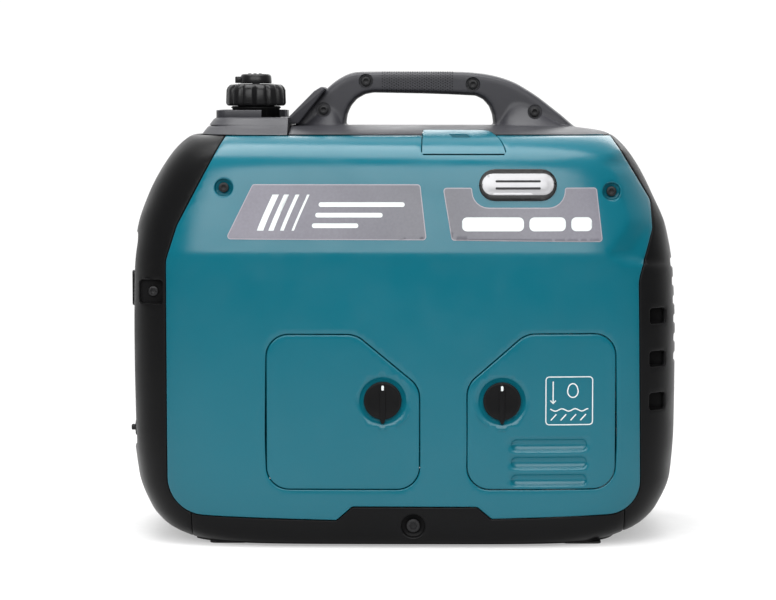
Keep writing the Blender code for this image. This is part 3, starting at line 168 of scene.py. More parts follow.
def housing(u, v):
    """The housing's surface at arc lengths round (u) and up (v), as x, y and z arrays.

    u runs from the left end's middle along the service side (-Y) to the right end's middle.
    Past either end it goes on round to the recoil side.
    """
    u, v = np.asarray(u, dtype=float), np.asarray(v, dtype=float)
    z = height_of(v)
    past_left, past_right = u < 0, u > PERIMETER
    inside = np.where(past_left, -u, np.where(past_right, 2 * PERIMETER - u, u))
    xi = np.interp(inside, AROUND, XI)
    eta = np.interp(inside, AROUND, ETA)
    x = np.where(xi < 0, left_end(z), right_end(z)) * xi
    y = side_reach(z) * eta
    lengths = np.array([point[1] for point in FACET_LINE])
    levels = np.array([point[0] for point in FACET_LINE])
    over = np.clip(x - np.interp(z, levels, lengths), 0.0, 0.022)
    y = y - FACET_SLOPE * over * eta
    return x, np.where(past_left | past_right, y, -y), z


# ---------------------------------------------------------------- outlines
def rounded(points, steps=8):
    """The outline through (a, b, radius) corners, each corner an arc of its radius."""
    outline = []
    count = len(points)
    for i, (a, b, radius) in enumerate(points):
        if radius <= 0:
            outline.append((a, b))
            continue
        here = Vector((a, b))
        before = (Vector(points[i - 1][:2]) - here).normalized()
        after = (Vector(points[(i + 1) % count][:2]) - here).normalized()
        half = before.angle(after) / 2
        centre = here + (before + after).normalized() * radius / math.sin(half)
        start = here + before * radius / math.tan(half) - centre
        stop = here + after * radius / math.tan(half) - centre
        sweep = start.angle_signed(stop)
        for k in range(steps + 1):
            turned = start.copy()
            turned.rotate(Matrix.Rotation(-sweep * k / steps, 2))
            outline.append(tuple(centre + turned))
    return outline


def spaced(outline, spacing, closed=True):
    """The same outline with no edge longer than the spacing."""
    out = []
    pairs = zip(outline, outline[1:] + outline[:1]) if closed else zip(outline, outline[1:])
    for a, b in pairs:
        a, b = Vector(a), Vector(b)
        count = max(1, math.ceil((b - a).length / spacing))
        out += [tuple(a.lerp(b, k / count)) for k in range(count)]
    return out if closed else out + [tuple(outline[-1])]


def round_steps_of(count):
    """The cosine and sine of evenly spaced turns round a circle."""
    turns = [2 * math.pi * k / count for k in range(count)]
    return [(math.cos(turn), math.sin(turn)) for turn in turns]


def circle(a, b, radius, count=32):
    """A circle's outline about a middle."""
    return [(a + radius * c, b + radius * s) for c, s in round_steps_of(count)]


def inset(outline, distance):
    """The outline moved inwards by a distance, or outwards by a negative one."""
    points = np.array(outline)
    after = np.roll(points, -1, axis=0) - points
    after /= np.maximum(np.linalg.norm(after, axis=1, keepdims=True), 1e-12)
    before = np.roll(after, 1, axis=0)
    nxt = np.roll(points, -1, axis=0)
    turn = 1.0 if np.sum(points[:, 0] * nxt[:, 1] - nxt[:, 0] * points[:, 1]) > 0 else -1.0
    normal_a = np.stack((-before[:, 1], before[:, 0]), axis=1) * turn
    normal_b = np.stack((-after[:, 1], after[:, 0]), axis=1) * turn
    middle = normal_a + normal_b
    middle /= np.maximum(np.linalg.norm(middle, axis=1, keepdims=True), 1e-12)
    scale = distance / np.maximum(np.sum(middle * normal_a, axis=1), 0.35)
    return [tuple(p) for p in points + middle * scale[:, None]]


def contains(outline, points):
    """Which points lie inside a closed outline."""
    ring = np.array(outline)
    ahead = np.roll(ring, -1, axis=0)
    inside = np.zeros(len(points), dtype=bool)
    px, py = points[:, 0], points[:, 1]
    for (ax, ay), (bx, by) in zip(ring, ahead):
        if ay == by:
            continue
        crosses = (ay > py) != (by > py)
        inside ^= crosses & (px < (bx - ax) * (py - ay) / (by - ay) + ax)
    return inside


# ---------------------------------------------------------------- pieces from surfaces
def place_piece(name, mesh, paint, body, smooth=True):
    """A mesh placed as a piece that rides on a body, with its paint and material slot."""
    mesh.materials.clear()
    mesh.materials.append(paint)
    if smooth:
        mesh.shade_smooth()
    piece = bpy.data.objects.new(name, mesh)
    bpy.context.scene.collection.objects.link(piece)
    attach(piece, body)
    return piece


def at_node(name):
    """The middle of a CAD node's box."""
    low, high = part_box(name)
    return (low + high) / 2


def place_plain(name, mesh):
    """A black moulding of the housing with flat faces."""
    return place_piece(name, mesh, BLACK, "housing", smooth=False)


def within(rings, points):
    """Which points lie inside the first ring and outside the others."""
    keep = contains(rings[0], points)
    for hole in rings[1:]:
        keep &= ~contains(hole, points)
    return keep


# the height of an equilateral triangle, over its side
ROW_RISE = 0.866


def filled(rings, grid):
    """The points of a triangular grid that lie within the rings."""
    low, high = np.min(rings[0], axis=0), np.max(rings[0], axis=0)
    rows = []
    for k in range(int((high[1] - low[1]) / (grid * ROW_RISE)) + 1):
        across = np.arange(low[0] + (grid / 2 if k % 2 else 0), high[0], grid)
        level = low[1] + k * grid * ROW_RISE
        rows.append(np.stack((across, np.full(len(across), level)), axis=1))
    points = np.concatenate(rows)
    return points[within(rings, points)]


def clear_of(points, fixed, gap):
    """The points that are further than a gap from every fixed point."""
    near = np.full(len(points), 9.0)
    for start in range(0, len(fixed), 200):
        apart = points[:, None, :] - fixed[None, start:start + 200, :]
        near = np.minimum(near, np.sqrt(np.min(np.sum(apart ** 2, axis=2), axis=1)))
    return points[near > gap]


def triangulated(firm, creases, inner):
    """A flat mesh through rings, creases and inner points.

    Gives its points, its faces within the rings, and where each given point has gone.
    """
    points = [Vector(p) for ring in [*firm, *creases] for p in ring]
    points += [Vector(p) for p in inner]
    edges = []
    base = 0
    for ring in firm:
        edges += [(base + k, base + (k + 1) % len(ring)) for k in range(len(ring))]
        base += len(ring)
    for line in creases:
        edges += [(base + k, base + k + 1) for k in range(len(line) - 1)]
        base += len(line)
    made, _, faces, origin, _, _ = delaunay_2d_cdt(points, edges, [], 0, 1e-7)
    flat = np.array([tuple(p) for p in made])
    faces = [tuple(f) for f in faces]
    keep = within(firm, np.array([flat[list(f)].mean(axis=0) for f in faces]))
    gone_to = {source: k for k, sources in enumerate(origin) for source in sources}
    return flat, [f for f, good in zip(faces, keep) if good], gone_to


def lifted(surface, uv, depth):
    """The points of a surface at (u, v) places, moved inwards along its normals by a depth."""
    uv = np.array(uv)
    tiny = 2e-4
    here = np.stack(surface(uv[:, 0], uv[:, 1]), axis=1)
    along = np.stack(surface(uv[:, 0] + tiny, uv[:, 1]), axis=1) - \
        np.stack(surface(uv[:, 0] - tiny, uv[:, 1]), axis=1)
    up = np.stack(surface(uv[:, 0], uv[:, 1] + tiny), axis=1) - \
        np.stack(surface(uv[:, 0], uv[:, 1] - tiny), axis=1)
    normal = np.cross(along, up)
    normal /= np.maximum(np.linalg.norm(normal, axis=1, keepdims=True), 1e-12)
    return here - normal * depth


def skin_mesh(points, faces):
    """A closed skin's mesh, without the faces that have shrunk away and the loose points."""
    work = bmesh.new()
    held = [work.verts.new(p) for p in points]
    for face in faces:
        if len(set(face)) > 2:
            try:
                work.faces.new([held[i] for i in face])
            except ValueError:
                pass
    loose = [v for v in work.verts if not v.link_faces]
    bmesh.ops.delete(work, geom=loose, context="VERTS")
    bmesh.ops.recalc_face_normals(work, faces=work.faces)
    mesh = bpy.data.meshes.new("patch")
    work.to_mesh(mesh)
    work.free()
    return mesh


def patch_mesh(loops, surface, thickness, edge=0.0010, grid=0.005, lines=(), step=0.0025,
               round_steps=3):
    """A closed skin over a surface: loops are its outline and then its holes, in (u, v).

    Every rim is rounded by the edge radius, and the skin goes inwards by the thickness.
    """
    loops = [spaced(list(loop), step) for loop in loops]
    firm = [inset(loop, edge if i == 0 else -edge) for i, loop in enumerate(loops)]
    creases = [spaced(list(line), grid * 0.6, closed=False) for line in lines]
    fixed = np.concatenate([np.array(ring) for ring in [*firm, *creases]])
    inner = clear_of(filled(firm, grid), fixed, grid * 0.42)
    flat, faces, gone_to = triangulated(firm, creases, inner)
    points = [*lifted(surface, flat, 0.0), *lifted(surface, flat, thickness)]
    shift = len(flat)
    solid = list(faces) + [tuple(i + shift for i in f[::-1]) for f in faces]
    turns = [math.pi / 2 * k / round_steps for k in range(1, round_steps + 1)]
    base = 0
    for n, (loop, ring) in enumerate(zip(loops, firm)):
        rows = [[gone_to[base + k] for k in range(len(ring))]]
        outwards = 1 if n == 0 else -1
        rims = [lifted(surface, inset(loop, outwards * edge * (1 - math.sin(turn))),
                       edge * (1 - math.cos(turn))) for turn in turns]
        for rim in [*rims, lifted(surface, loop, thickness)]:
            rows.append(range(len(points), len(points) + len(loop)))
            points += list(rim)
        rows.append([gone_to[base + k] + shift for k in range(len(ring))])
        for a, b in zip(rows, rows[1:]):
            for k in range(len(loop)):
                j = (k + 1) % len(loop)
                solid.append((a[k], b[k], b[j], a[j]))
        base += len(ring)
    return skin_mesh(points, solid)


def on_side(outline):
    """An outline seen from the side, (x, z), as arc lengths round and up the housing."""
    x = np.array([point[0] for point in outline])
    z = np.array([point[1] for point in outline])
    return list(zip(around_of_x(x, z), climb_of(z)))


def on_end(outline, right):
    """An outline seen from an end, (y, z), as arc lengths round and up the housing."""
    y = np.array([point[0] for point in outline])
    z = np.array([point[1] for point in outline])
    return list(zip(around_of_y(y, z, right), climb_of(z)))


# ---------------------------------------------------------------- materials
def link(tree, a, b):
    """A link between two node sockets."""
    tree.links.new(a, b)


def noise(tree, where, scale, detail=2.0, rough=0.5):
    """A noise value at the places that a vector gives."""
    node = tree.nodes.new("ShaderNodeTexNoise")
    node.inputs["Scale"].default_value = scale
    node.inputs["Detail"].default_value = detail
    node.inputs["Roughness"].default_value = rough
    link(tree, where, node.inputs["Vector"])
    return node.outputs["Fac"]


def spread(tree, value, low, high, from_low=0.3, from_high=0.7):
    """A value stretched from its own range to another one."""
    node = tree.nodes.new("ShaderNodeMapRange")
    node.inputs["From Min"].default_value = from_low
    node.inputs["From Max"].default_value = from_high
    node.inputs["To Min"].default_value = low
    node.inputs["To Max"].default_value = high
    link(tree, value, node.inputs["Value"])
    return node.outputs["Result"]


def mixed(tree, factor, a, b):
    """A colour between two, by a factor."""
    node = tree.nodes.new("ShaderNodeMix")
    node.data_type = "RGBA"
    link(tree, factor, node.inputs["Factor"])
    for socket, colour in ((node.inputs["A"], a), (node.inputs["B"], b)):
        if isinstance(colour, bpy.types.NodeSocket):
            link(tree, colour, socket)
        else:
            socket.default_value = (*colour, 1.0)
    return node.outputs["Result"]


def shade(colour, factor):
    """A colour made darker or lighter."""
    return tuple(min(1.0, channel * factor) for channel in colour)


def bumped(tree, height, distance, strength):
    """A normal tilted by a height's slope."""
    node = tree.nodes.new("ShaderNodeBump")
    node.inputs["Distance"].default_value = distance
    node.inputs["Strength"].default_value = strength
    link(tree, height, node.inputs["Height"])
    return node.outputs["Normal"]


def paint(name, colour, roughness, metallic=0.0, grain=900.0, depth=0.00010, patchy=0.06,
          wear=0.0, specular=0.5, coat=0.0, scuff=0.0):
    """A moulded, cast or plated surface: fine grain, patchy tone and gloss, worn edges."""
    made = bpy.data.materials.new(name)
    made.use_nodes = True
    tree = made.node_tree
    shader = tree.nodes["Principled BSDF"]
    where = tree.nodes.new("ShaderNodeTexCoord").outputs["Object"]
    broad = noise(tree, where, 9.0, 3.0)
    fine = noise(tree, where, grain, 3.0, 0.6)
    tone = mixed(tree, spread(tree, broad, 0.0, 1.0), shade(colour, 1 - patchy),
                 shade(colour, 1 + patchy))
    tone = mixed(tree, spread(tree, fine, 0.0, 0.35), tone, shade(colour, 0.82))
    if wear:
        edge = tree.nodes.new("ShaderNodeNewGeometry").outputs["Pointiness"]
        worn = spread(tree, edge, 0.0, wear, 0.52, 0.62)
        tone = mixed(tree, worn, tone, tuple(min(1.0, c * 1.5 + 0.03) for c in colour))
    if scuff:
        stretched = tree.nodes.new("ShaderNodeMapping")
        stretched.inputs["Scale"].default_value = (14.0, 14.0, 160.0)
        stretched.inputs["Rotation"].default_value = (0.3, 0.5, 0.2)
        link(tree, where, stretched.inputs["Vector"])
        marks = spread(tree, noise(tree, stretched.outputs["Vector"], 3.0, 6.0, 0.7), 0.0, scuff,
                       0.62, 0.80)
        tone = mixed(tree, marks, tone, tuple(min(1.0, c * 1.3 + 0.04) for c in colour))
    link(tree, tone, shader.inputs["Base Color"])
    link(tree, spread(tree, noise(tree, where, 30.0, 4.0), roughness - 0.06, roughness + 0.06),
         shader.inputs["Roughness"])
    shader.inputs["Metallic"].default_value = metallic
    shader.inputs["Specular IOR Level"].default_value = specular
    if coat:
        shader.inputs["Coat Weight"].default_value = coat
        shader.inputs["Coat Roughness"].default_value = 0.25
    link(tree, bumped(tree, fine, depth, 0.6), shader.inputs["Normal"])
    return made


TEAL = paint("teal_moulding", (0.0026, 0.105, 0.145), 0.21, grain=1300, depth=0.00010,
             patchy=0.03, wear=0.12, specular=0.33, scuff=0.012)
GREY = paint("grey_moulding", (0.030, 0.030, 0.035), 0.42, grain=1100, depth=0.00016,
             patchy=0.05, wear=0.15, specular=0.28, scuff=0.03)
BLACK = paint("black_moulding", (0.0060, 0.0060, 0.0063), 0.34, grain=1000, depth=0.00014,
              patchy=0.08, wear=0.25, specular=0.07, scuff=0.02)
SATIN_BLACK = paint("satin_black", (0.0075, 0.0075, 0.0080), 0.30, grain=1500, depth=0.00006,
                    wear=0.25, specular=0.22)
RUBBER = paint("black_rubber_skin", (0.0120, 0.0120, 0.0120), 0.78, grain=500, depth=0.0002,
               patchy=0.15)
STEEL = paint("zinc_plate", (0.50, 0.50, 0.50), 0.33, 1.0, grain=700, depth=0.00005, patchy=0.08)
# near-black steel; on the housing's screw heads this darkness is partly painted shade of the screw
# recesses
DARK_STEEL = paint("black_oxide_and_painted_shade", (0.010, 0.010, 0.011), 0.42, 0.6, grain=900, depth=0.00006,
                   patchy=0.15, wear=0.5)
CAST = paint("cast_alloy", (0.42, 0.43, 0.44), 0.52, 1.0, grain=420, depth=0.0004, patchy=0.10,
             wear=0.3)
COPPER = paint("copper_coils", (0.55, 0.20, 0.08), 0.35, 1.0, grain=250, depth=0.0005)
PALE = paint("pale_moulding", (0.55, 0.55, 0.52), 0.42, grain=900, depth=0.00008)
GREEN = paint("green_moulding", (0.010, 0.180, 0.060), 0.40, grain=900, depth=0.00008)
RED = paint("red_moulding", (0.420, 0.015, 0.012), 0.40, grain=900, depth=0.00008)
FOAM = paint("filter_foam_cells", (0.050, 0.050, 0.045), 0.95, grain=260, depth=0.0012,
             patchy=0.2)
BRAID = paint("rope_braid", (0.045, 0.045, 0.045), 0.90, grain=380, depth=0.0006, patchy=0.2)
WHITE_INK = paint("pale_ink", (0.62, 0.66, 0.66), 0.50, grain=1500, depth=0.00002)
SILVER = paint("silver_plate", (0.36, 0.36, 0.37), 0.42, 0.5, grain=1200, depth=0.00003,
               patchy=0.04)
# a darker, less glossy copy of the teal moulding: painted shade for the floor of the spark plug
# lid's slot
TEAL_PAINTED_SHADE = paint("teal_painted_recess_shade", (0.0010, 0.050, 0.070), 0.50, grain=1300, depth=0.00010,
                  patchy=0.03, specular=0.10)
PLATE_LINE = paint("plate_line", (0.300, 0.280, 0.310), 0.50, grain=1500, depth=0.00002)
GLOSS_BLACK = paint("dark_window", (0.006, 0.007, 0.008), 0.16, grain=900, depth=0.00001,
                    coat=0.4)
AMBER = paint("amber_lens", (0.60, 0.22, 0.01), 0.30, grain=900, depth=0.00003)

CAD_PAINTS = {
    "teal_plastic": TEAL, "grey_plastic": GREY, "black_plastic": BLACK, "black_rubber": RUBBER,
    "zinc_steel": STEEL, "cast_aluminium": CAST, "copper_winding": COPPER, "pale_plastic": PALE,
    "green_plastic": GREEN, "red_plastic": RED, "filter_foam": FOAM, "rope_fibre": BRAID,
}
slots = {entry["node"]: entry["material_slot"] for entry in frame["record"]["subparts"]}
for name, node in frame["nodes"].items():
    node.data.materials.clear()
    node.data.materials.append(CAD_PAINTS[slots[name]])


# ---------------------------------------------------------------- camera, light and floor
def make_camera():
    """The camera in front of the service side, at about the handle's height."""
    data = bpy.data.cameras.new("camera")
    data.sensor_width = SENSOR_WIDTH
    data.lens = FOCAL_LENGTH
    data.clip_start = 0.05
    camera = bpy.data.objects.new("camera", data)
    bpy.context.scene.collection.objects.link(camera)
    camera.location = CAMERA_PLACE
    aim = Vector(CAMERA_AIM) - Vector(CAMERA_PLACE)
    camera.rotation_euler = aim.to_track_quat("-Z", "Y").to_euler()
    bpy.context.scene.camera = camera


def area_light(name, place, aim, size, power):
    """A rectangular white softbox turned to its aim."""
    data = bpy.data.lights.new(name, "AREA")
    data.shape = "RECTANGLE"
    data.size, data.size_y = size
    data.energy = power
    light = bpy.data.objects.new(name, data)
    bpy.context.scene.collection.objects.link(light)
    light.location = place
    light.rotation_euler = (Vector(aim) - Vector(place)).to_track_quat("-Z", "Y").to_euler()


# in millimetres, as Blender's camera holds them
SENSOR_WIDTH = 36.0
FOCAL_LENGTH = 136.33608
CAMERA_PLACE = (0.0234, -2.80, 0.4175)
CAMERA_AIM = (-0.0150, 0.0, 0.2170)
make_camera()

area_light("top_softbox", (-0.10, -0.15, 1.75), (0, 0, 0.2), (1.9, 1.2), 44)
area_light("front_softbox", (-0.20, -1.90, 1.16), (0, 0, 0.25), (2.8, 1.0), 47)
area_light("back_softbox", (0.30, 2.10, 1.30), (0, 0, 0.25), (2.0, 1.0), 10)


def make_world():
    """White paper behind and above the object, and a dim room in front of it."""
    world = bpy.data.worlds.new("studio")
    bpy.context.scene.world = world
    world.use_nodes = True
    tree = world.node_tree
    split = tree.nodes.new("ShaderNodeSeparateXYZ")
    link(tree, tree.nodes.new("ShaderNodeTexCoord").outputs["Generated"], split.inputs[0])
    behind = spread(tree, split.outputs["Y"], 0.07, 1.06, -0.10, 0.80)
    above = spread(tree, split.outputs["Z"], 0.0, 0.35, 0.1, 0.9)
    total = tree.nodes.new("ShaderNodeMath")
    total.operation = "MAXIMUM"
    link(tree, behind, total.inputs[0])
    link(tree, above, total.inputs[1])
    background = tree.nodes["Background"]
    background.inputs["Color"].default_value = (1.0, 1.0, 1.0, 1.0)
    link(tree, total.outputs[0], background.inputs["Strength"])


make_world()
bpy.context.scene.view_settings.view_transform = "Standard"

FLOOR_REACH = 1.4
FLOOR_DROP = 0.0002


def make_floor():
    """The paper floor, a hair under the feet, lit a little from within."""
    mesh = bpy.data.meshes.new("studio_floor")
    work = bmesh.new()
    bmesh.ops.create_grid(work, x_segments=1, y_segments=1, size=FLOOR_REACH)
    work.to_mesh(mesh)
    work.free()
    piece = bpy.data.objects.new("studio_floor", mesh)
    bpy.context.scene.collection.objects.link(piece)
    paper = paint("floor_paper", (0.52, 0.52, 0.52), 0.9, grain=60, depth=0.0001, patchy=0.01,
                  specular=0.1)
    shader = paper.node_tree.nodes["Principled BSDF"]
    shader.inputs["Emission Color"].default_value = (1.0, 1.0, 1.0, 1.0)
    shader.inputs["Emission Strength"].default_value = 0.42
    mesh.materials.append(paper)
    piece.location = (0, 0, -FLOOR_DROP)


make_floor()

# ---------------------------------------------------------------- housing shells
BASE_ENDS = (-0.194, 0.204)
EDGE_Z = 0.05
CARBURETOR_DOOR = (
    (-0.1244, 0.0536, 0.021), (0.0161, 0.0536, 0.021), (0.0161, 0.1480, 0.022),
    (-0.0420, 0.1962, 0.024), (-0.1244, 0.1962, 0.021),
)
OIL_DOOR = (
    (0.0584, 0.0536, 0.021), (0.1950, 0.0536, 0.021), (0.1950, 0.1967, 0.021),
    (0.1120, 0.1967, 0.024), (0.0584, 0.1500, 0.022),
)
CARBURETOR_KNOB = (-0.0179, 0.1354)
OIL_KNOB = (0.0906, 0.1350)
COVER_SCREWS = ((-0.1630, 0.3286), (0.1905, 0.3250))
LID_LOWEST = 0.3585
LID_OUTLINE = ((0.0170, -0.1290, 0.003), (0.0958, -0.1290, 0.003), (0.0790, -0.0640, 0.010),
               (0.0180, -0.0620, 0.004))
WALL = 0.0028
VENT_LEVELS = ((0.1240, 0.1400), (0.1640, 0.1785), (0.2035, 0.2180))
VENT_ENDS = (0.2262, 0.2418)
BASE_SCREW = (0.0099, 0.0200)
POCKET_FLOOR = 0.1150
GRIP_CENTRE = (-0.055, 0.1933)
POCKET_HALF = (0.0370, 0.0210)


def rectangle(a, b, c, d, radius):
    """A rectangle's outline from corner (a, b) to corner (c, d), its corners rounded."""
    return rounded(((a, b, radius), (c, b, radius), (c, d, radius), (a, d, radius)), 5)


def panel_ring(grow):
    """The side panels' outline, grown outwards by an amount."""
    return inset(rounded(PANEL_OUTLINE, 10), -grow)


def edge_height(x):
    """The height of the panels' lower edge at a length."""
    low = sorted(p for p in panel_ring(SEAM) if p[1] < 0.042)
    return float(np.interp(x, [p[0] for p in low], [p[1] for p in low]))


def end_path(side):
    """The frames' edge against a panel, from the top seam down to the base's seam."""
    ring = panel_ring(SEAM)
    top = [k for k, p in enumerate(ring) if p[1] > TOP_SEAM_Z - 0.001 and p[0] * side > 0][0]
    ring = ring[top:] + ring[:top]
    if side > 0:
        ring = [ring[0]] + ring[:0:-1]
    seam = BASE_ENDS[0] if side < 0 else BASE_ENDS[1]
    path = []
    for x, z in ring:
        if z < EDGE_Z and x * side < seam * side:
            break
        path.append((x, min(z, TOP_SEAM_Z)))
    path.append((seam + side * SEAM, edge_height(seam)))
    return path


def seam_drop(side):
    """The vertical seam between a frame and the base, going down from the panel's edge."""
    seam = (BASE_ENDS[0] if side < 0 else BASE_ENDS[1]) + side * SEAM
    end = left_end if side < 0 else right_end
    path = []
    for z in np.linspace(edge_height(seam), FOOT_HEIGHT, 14):
        path.append((seam, float(z)))
        if abs(seam) >= float(end(z)):
            break
    return path


def far_side(loop, side=1):
    """The same loop on the recoil side, carried round the left (-1) or the right end."""
    around = 0.0 if side < 0 else 2 * PERIMETER
    return [(around - u, v) for u, v in loop]


def wrapped_end(side, holes):
    """The outline of an end frame round to the recoil side, and its holes."""
    near = on_side(spaced(end_path(side), 0.003, closed=False) + seam_drop(side)[1:])
    return [near + far_side(near[::-1], side), *holes]


def lid_notch():
    """The lid's outline where it crosses the panel, from the seam down and up again."""
    front, back = -LID_OUTLINE[1][1], -LID_OUTLINE[2][1]
    heights = np.linspace(TOP_SEAM_Z, LID_LOWEST + 0.003, 9)
    share = (front - side_reach(heights)) / (front - back)
    right = LID_OUTLINE[1][0] + (LID_OUTLINE[2][0] - LID_OUTLINE[1][0]) * share
    left = LID_OUTLINE[0][0] + (LID_OUTLINE[3][0] - LID_OUTLINE[0][0]) * share
    down = [(float(x), float(z)) for x, z in zip(right, heights)]
    up = [(float(x), float(z)) for x, z in zip(left, heights)][::-1]
    return down + [(down[-1][0] - 0.002, LID_LOWEST), (up[0][0] + 0.002, LID_LOWEST)] + up


def make_side_panel(name, side, holes):
    """A coloured side panel, with the lid's notch on the service side."""
    outline = panel_ring(-SEAM)
    if side < 0:
        notch = lid_notch()
        cut_at = max(range(len(outline)), key=lambda k: outline[k][1] + outline[k][0] * 0.001)
        outline = outline[:cut_at + 1] + notch + outline[cut_at + 1:]
    screws = [on_side(circle(x, z, 0.0084)) for x, z in COVER_SCREWS]
    crease = on_side([(x, RIDGE_Z) for x in np.linspace(-0.18, 0.186, 60)])
    facet = on_side([(x, z) for z, x in FACET_LINE[2:7]])
    mesh = patch_mesh([on_side(spaced(outline, 0.003)), *screws, *holes], housing, WALL,
                      edge=0.0011, grid=0.0048, lines=[crease, facet])
    if side > 0:
        mesh.transform(Matrix.Scale(-1.0, 4, (0, 1, 0)))
        mesh.flip_normals()
    node = "service_side_cover" if side < 0 else "recoil_side_cover"
    piece = place_piece(name, mesh, TEAL, "housing")
    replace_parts(piece, node)
    for k, (x, z) in enumerate(COVER_SCREWS):
        cup = screw_cup(x, z, side, 0.0082, 0.0062)
        place_piece(f"{name}_screw_cup_{k}", cup, TEAL, "housing")


def turned_mesh(profile, origin, direction, steps=48):
    """A mesh of (radius, height) points turned about a direction, top to bottom."""
    turn = Vector((0, 0, 1)).rotation_difference(Vector(direction)).to_matrix()
    work = bmesh.new()
    rings = []
    for radius, height in profile:
        if radius < 1e-7:
            rings.append([work.verts.new(turn @ Vector((0, 0, height)) + Vector(origin))])
            continue
        rings.append([work.verts.new(turn @ Vector((a, b, height)) + Vector(origin))
                      for a, b in circle(0.0, 0.0, radius, steps)])
    for a, b in zip(rings, rings[1:]):
        for k in range(steps):
            j = (k + 1) % steps
            face = [a[k % len(a)], a[j % len(a)], b[j % len(b)], b[k % len(b)]]
            face = list(dict.fromkeys(face))
            if len(face) > 2:
                work.faces.new(face)
    bmesh.ops.recalc_face_normals(work, faces=work.faces)
    mesh = bpy.data.meshes.new("turned")
    work.to_mesh(mesh)
    work.free()
    return mesh


def surface_place(x, z, side):
    """A point on a long side, and the outward direction there."""
    u, v = float(around_of_x(x, z)), float(climb_of(z))
    here = Vector([float(c) for c in housing(u, v)])
    along = Vector([float(c) for c in housing(u + 1e-3, v)]) - here
    up = Vector([float(c) for c in housing(u, v + 1e-3)]) - here
    out = along.cross(up).normalized()
    if side > 0:
        here.y, out.y = -here.y, -out.y
    return here, out


def screw_cup(x, z, side, radius, depth):
    """The walls and floor of a sunk screw's recess."""
    here, _ = surface_place(x, z, side)
    profile = [(radius + 0.0008, -0.0012), (radius + 0.0008, -depth - 0.0010),
               (0.0, -depth - 0.0010), (0.0, -depth), (radius - 0.0010, -depth),
               (radius, -depth + 0.0010), (radius, -0.0012), (radius + 0.0008, -0.0012)]
    return turned_mesh(profile[::-1], here, (0, side, 0), 40)


door_holes = [on_side(rounded(CARBURETOR_DOOR, 10)), on_side(rounded(OIL_DOOR, 10))]
make_side_panel("service_panel", -1, door_holes)

pocket_outline = rectangle(GRIP_CENTRE[0] - POCKET_HALF[0], GRIP_CENTRE[1] - POCKET_HALF[1],
                           GRIP_CENTRE[0] + POCKET_HALF[0], GRIP_CENTRE[1] + POCKET_HALF[1], 0.008)
INTAKE_SLOTS = 7
INTAKE_PITCH = 0.0140
intake_holes = [on_side(rectangle(0.0500, 0.0700 + k * INTAKE_PITCH, 0.1700,
                                  0.0760 + k * INTAKE_PITCH, 0.0028))
                for k in range(INTAKE_SLOTS)]
make_side_panel("recoil_panel", 1, [on_side(pocket_outline), *intake_holes])

FRAME_POCKET = (-0.2413, 0.2217, -0.2197, 0.2438)
TAIL = (0.040, 0.135)
LOUVRES = 6
LOUVRE_PITCH = 0.0175


def make_front_frame():
    """The control end's shell, with the control panel's opening and a screw pocket each side."""
    opening = on_end(spaced(rectangle(-0.085, 0.085, 0.085, 0.285, 0.012), 0.003), False)
    pocket = on_side(rectangle(*FRAME_POCKET, 0.003))
    outline = wrapped_end(-1, [opening, pocket, far_side(pocket, -1)])
    mesh = patch_mesh(outline, housing, WALL, edge=0.0011, grid=0.0048)
    piece = place_piece("front_frame_shell", mesh, BLACK, "housing")
    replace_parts(piece, "front_frame")


def make_rear_cover():
    """The exhaust end's shell, with its louvres, the tailpipe's hole and the side vents."""
    holes = [on_end(spaced(rectangle(-0.078, 0.165 + k * LOUVRE_PITCH, 0.078,
                                     0.1735 + k * LOUVRE_PITCH, 0.003), 0.003), True)
             for k in range(LOUVRES)]
    holes.append(on_end(circle(*TAIL, 0.016), True))
    for low, high in VENT_LEVELS:
        vent = on_side(rectangle(VENT_ENDS[0], low, VENT_ENDS[1], high, 0.003))
        holes += [vent, far_side(vent)]
    mesh = patch_mesh(wrapped_end(1, holes), housing, WALL, edge=0.0011, grid=0.0048)
    piece = place_piece("rear_cover_shell", mesh, BLACK, "housing")
    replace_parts(piece, "rear_cover")


make_front_frame()
make_rear_cover()


def make_base():
    """The base's wall round three sides, with its raised middle and its screw cups.

    Gives the outline of the base's floor.
    """
    low, high = BASE_ENDS
    edge = [p for p in sorted(panel_ring(SEAM)) if p[1] < 0.042 and low < p[0] < high]
    top = [(low + SEAM, edge_height(low))] + edge + [(high - SEAM, edge_height(high))]
    drop = [(x - 2 * SEAM, z) for x, z in seam_drop(1)]
    start = [(low + SEAM, float(z)) for z in np.linspace(FOOT_HEIGHT, edge_height(low), 8)]
    near = on_side(start[:-1] + spaced(top, 0.003, closed=False) + drop[1:])
    far = far_side(near[::-1])
    screw_hole = on_side(circle(*BASE_SCREW, 0.0113))
    rim = [(u, near[0][1]) for u in np.linspace(far[-1][0], near[0][0], 200)[1:-1]]
    mesh = patch_mesh([near + far + rim, screw_hole, far_side(screw_hole)], housing, WALL,
                      edge=0.0010, grid=0.0050)
    wall = place_piece("base_wall", mesh, BLACK, "housing")
    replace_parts(wall, "base_tray")
    for side in (-1, 1):
        cup = screw_cup(*BASE_SCREW, side, 0.0110, 0.0068)
        place_piece(f"base_screw_cup_{side + 1}", cup, BLACK, "housing")
    outline = [(x, y) for x, y, _ in zip(*housing(np.linspace(0, 2 * PERIMETER, 240),
                                                  np.full(240, climb_of(0.0042))))]
    outline = [(x, y) for x, y in outline if low < x < high]
    return outline


base_outline = make_base()

# ---------------------------------------------------------------- solids
def mesh_of(points, faces):
    """A mesh with its faces turned outwards."""
    work = bmesh.new()
    held = [work.verts.new(tuple(map(float, p))) for p in points]
    for face in faces:
        work.faces.new([held[i] for i in face])
    bmesh.ops.recalc_face_normals(work, faces=work.faces)
    mesh = bpy.data.meshes.new("solid")
    work.to_mesh(mesh)
    work.free()
    return mesh


